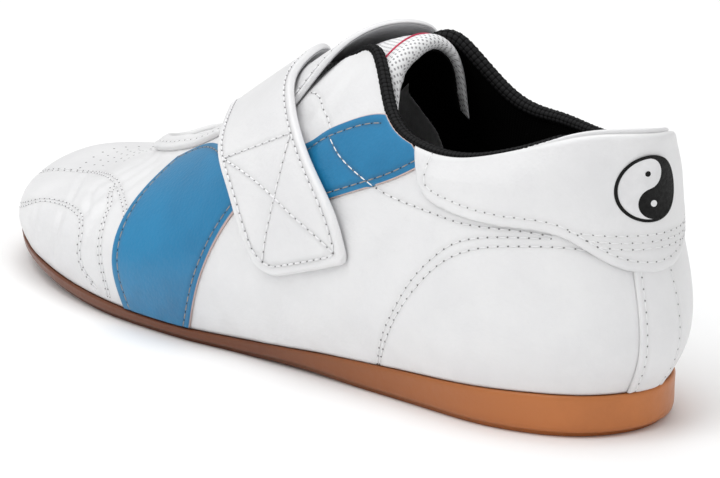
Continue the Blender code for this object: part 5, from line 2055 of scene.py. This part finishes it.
@dataclass
class Studio:
    """A pale floor, soft lights and a camera at the photograph's angle."""

    azimuth: float = 50.0
    elevation: float = 15.9
    distance: float = 1.608
    lens: float = 283.6
    aim: tuple[float, float, float] = (-0.00497, 0.00203, 0.040)
    aside: float = 0.00731
    below: float = 0.0150

    LAMPS = (("key", 0.0, 52.0, 1.1, 9.0), ("fill", 100.0, 35.0, 1.2, 3.2), ("top", 250.0, 78.0, 1.2, 9.8))
    LAMP_DISTANCE = 1.5
    FLOOR_DROP = 0.0002

    @staticmethod
    def look_from(azimuth: float, elevation: float) -> tuple[Array, tuple[float, float, float]]:
        """Direction from the shoe to a viewer, and the turn with which the viewer looks back."""
        turn, tilt = math.radians(azimuth), math.radians(elevation)
        back = (math.sin(turn) * math.cos(tilt), -math.cos(turn) * math.cos(tilt), math.sin(tilt))
        return np.array(back), (math.pi / 2 - tilt, 0.0, turn)

    def camera(self) -> None:
        """The camera, aimed so that the picture's middle is beside and below the aim."""
        back, rotation = self.look_from(self.azimuth, self.elevation)
        right = np.array((math.cos(rotation[2]), math.sin(rotation[2]), 0.0))
        up = np.cross(back, right)
        data = bpy.data.cameras.new("camera")
        data.lens = self.lens
        data.sensor_width = 36.0
        data.clip_start = 0.05
        eye = link("camera", data)
        eye.location = np.array(self.aim) + right * self.aside - up * self.below + back * self.distance
        eye.rotation_euler = rotation
        bpy.context.scene.camera = eye

    def light(self, name: str, azimuth: float, elevation: float, size: float, power: float) -> None:
        """A square soft light a metre and a half off, turned to the shoe.

        Args:
            name: The light's name.
            azimuth: Degrees round the shoe, as for the camera.
            elevation: Degrees above the floor.
            size: Side of the square, metres.
            power: Watts.
        """
        data = bpy.data.lights.new(name, "AREA")
        data.shape = "SQUARE"
        data.size = size
        data.energy = power
        lamp = link(name, data)
        back, lamp.rotation_euler = self.look_from(azimuth, elevation)
        lamp.location = self.LAMP_DISTANCE * back

    def build(self, material: bpy.types.Material) -> None:
        """Camera, lights, world and floor.

        Args:
            material: Finish of the floor.
        """
        self.camera()
        for lamp in self.LAMPS:
            self.light(*lamp)
        world = bpy.data.worlds.new("studio")
        world.use_nodes = True
        Bench(world.node_tree).feed(world.node_tree.nodes["Background"], {0: (1.0, 1.0, 1.0, 1.0), 1: 0.50})
        bpy.context.scene.world = world
        bpy.context.scene.view_settings.view_transform = "Standard"
        reach = np.linspace(-4.0, 4.0, 41)
        across, along = np.meshgrid(reach, reach)
        mesh = bpy.data.meshes.new("floor")
        points = np.stack([across, along, np.full(across.shape, -self.FLOOR_DROP)], -1).reshape(-1, 3)
        mesh.from_pydata(points.tolist(), [], quads(*across.shape).tolist())
        mesh.materials.append(material)
        floor = link("floor", mesh)


def main() -> None:
    """Builds the studio and every sub-assembly in order."""
    logging.basicConfig(level=logging.INFO, format="%(message)s")
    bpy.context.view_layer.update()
    effects = Effects()
    wardrobe = {key: finish.material(effects) for key, finish in FINISHES.items()}
    Studio().build(wardrobe["floor"])
    last = Last()
    pale = Stitching("pale_stitches", wardrobe["thread"])
    dark = Stitching("dark_stitches", wardrobe["dark_thread"])
    upper = Upper(last)
    rows = upper.seam_paths()
    upper.build_leather(wardrobe["white"], rows)
    upper.build_lining(wardrobe["lining"], wardrobe["vamp_lining"])
    upper.build_binding(wardrobe["binding"])
    upper.build_pinholes(wardrobe["prick"])
    for path, needle in rows:
        pale.sew(path, needle)
    cuff = Panels(last).build(wardrobe, pale, dark)
    Ornament(cuff).build(wardrobe)
    Strapping(last).build(wardrobe, pale)
    Tongue(last).build(wardrobe)
    Sole(last).build(wardrobe)
    pale.build("pale_needle_holes", wardrobe["prick"])
    dark.build("dark_needle_holes", wardrobe["hole"])


if __name__ == "__main__":
    main()
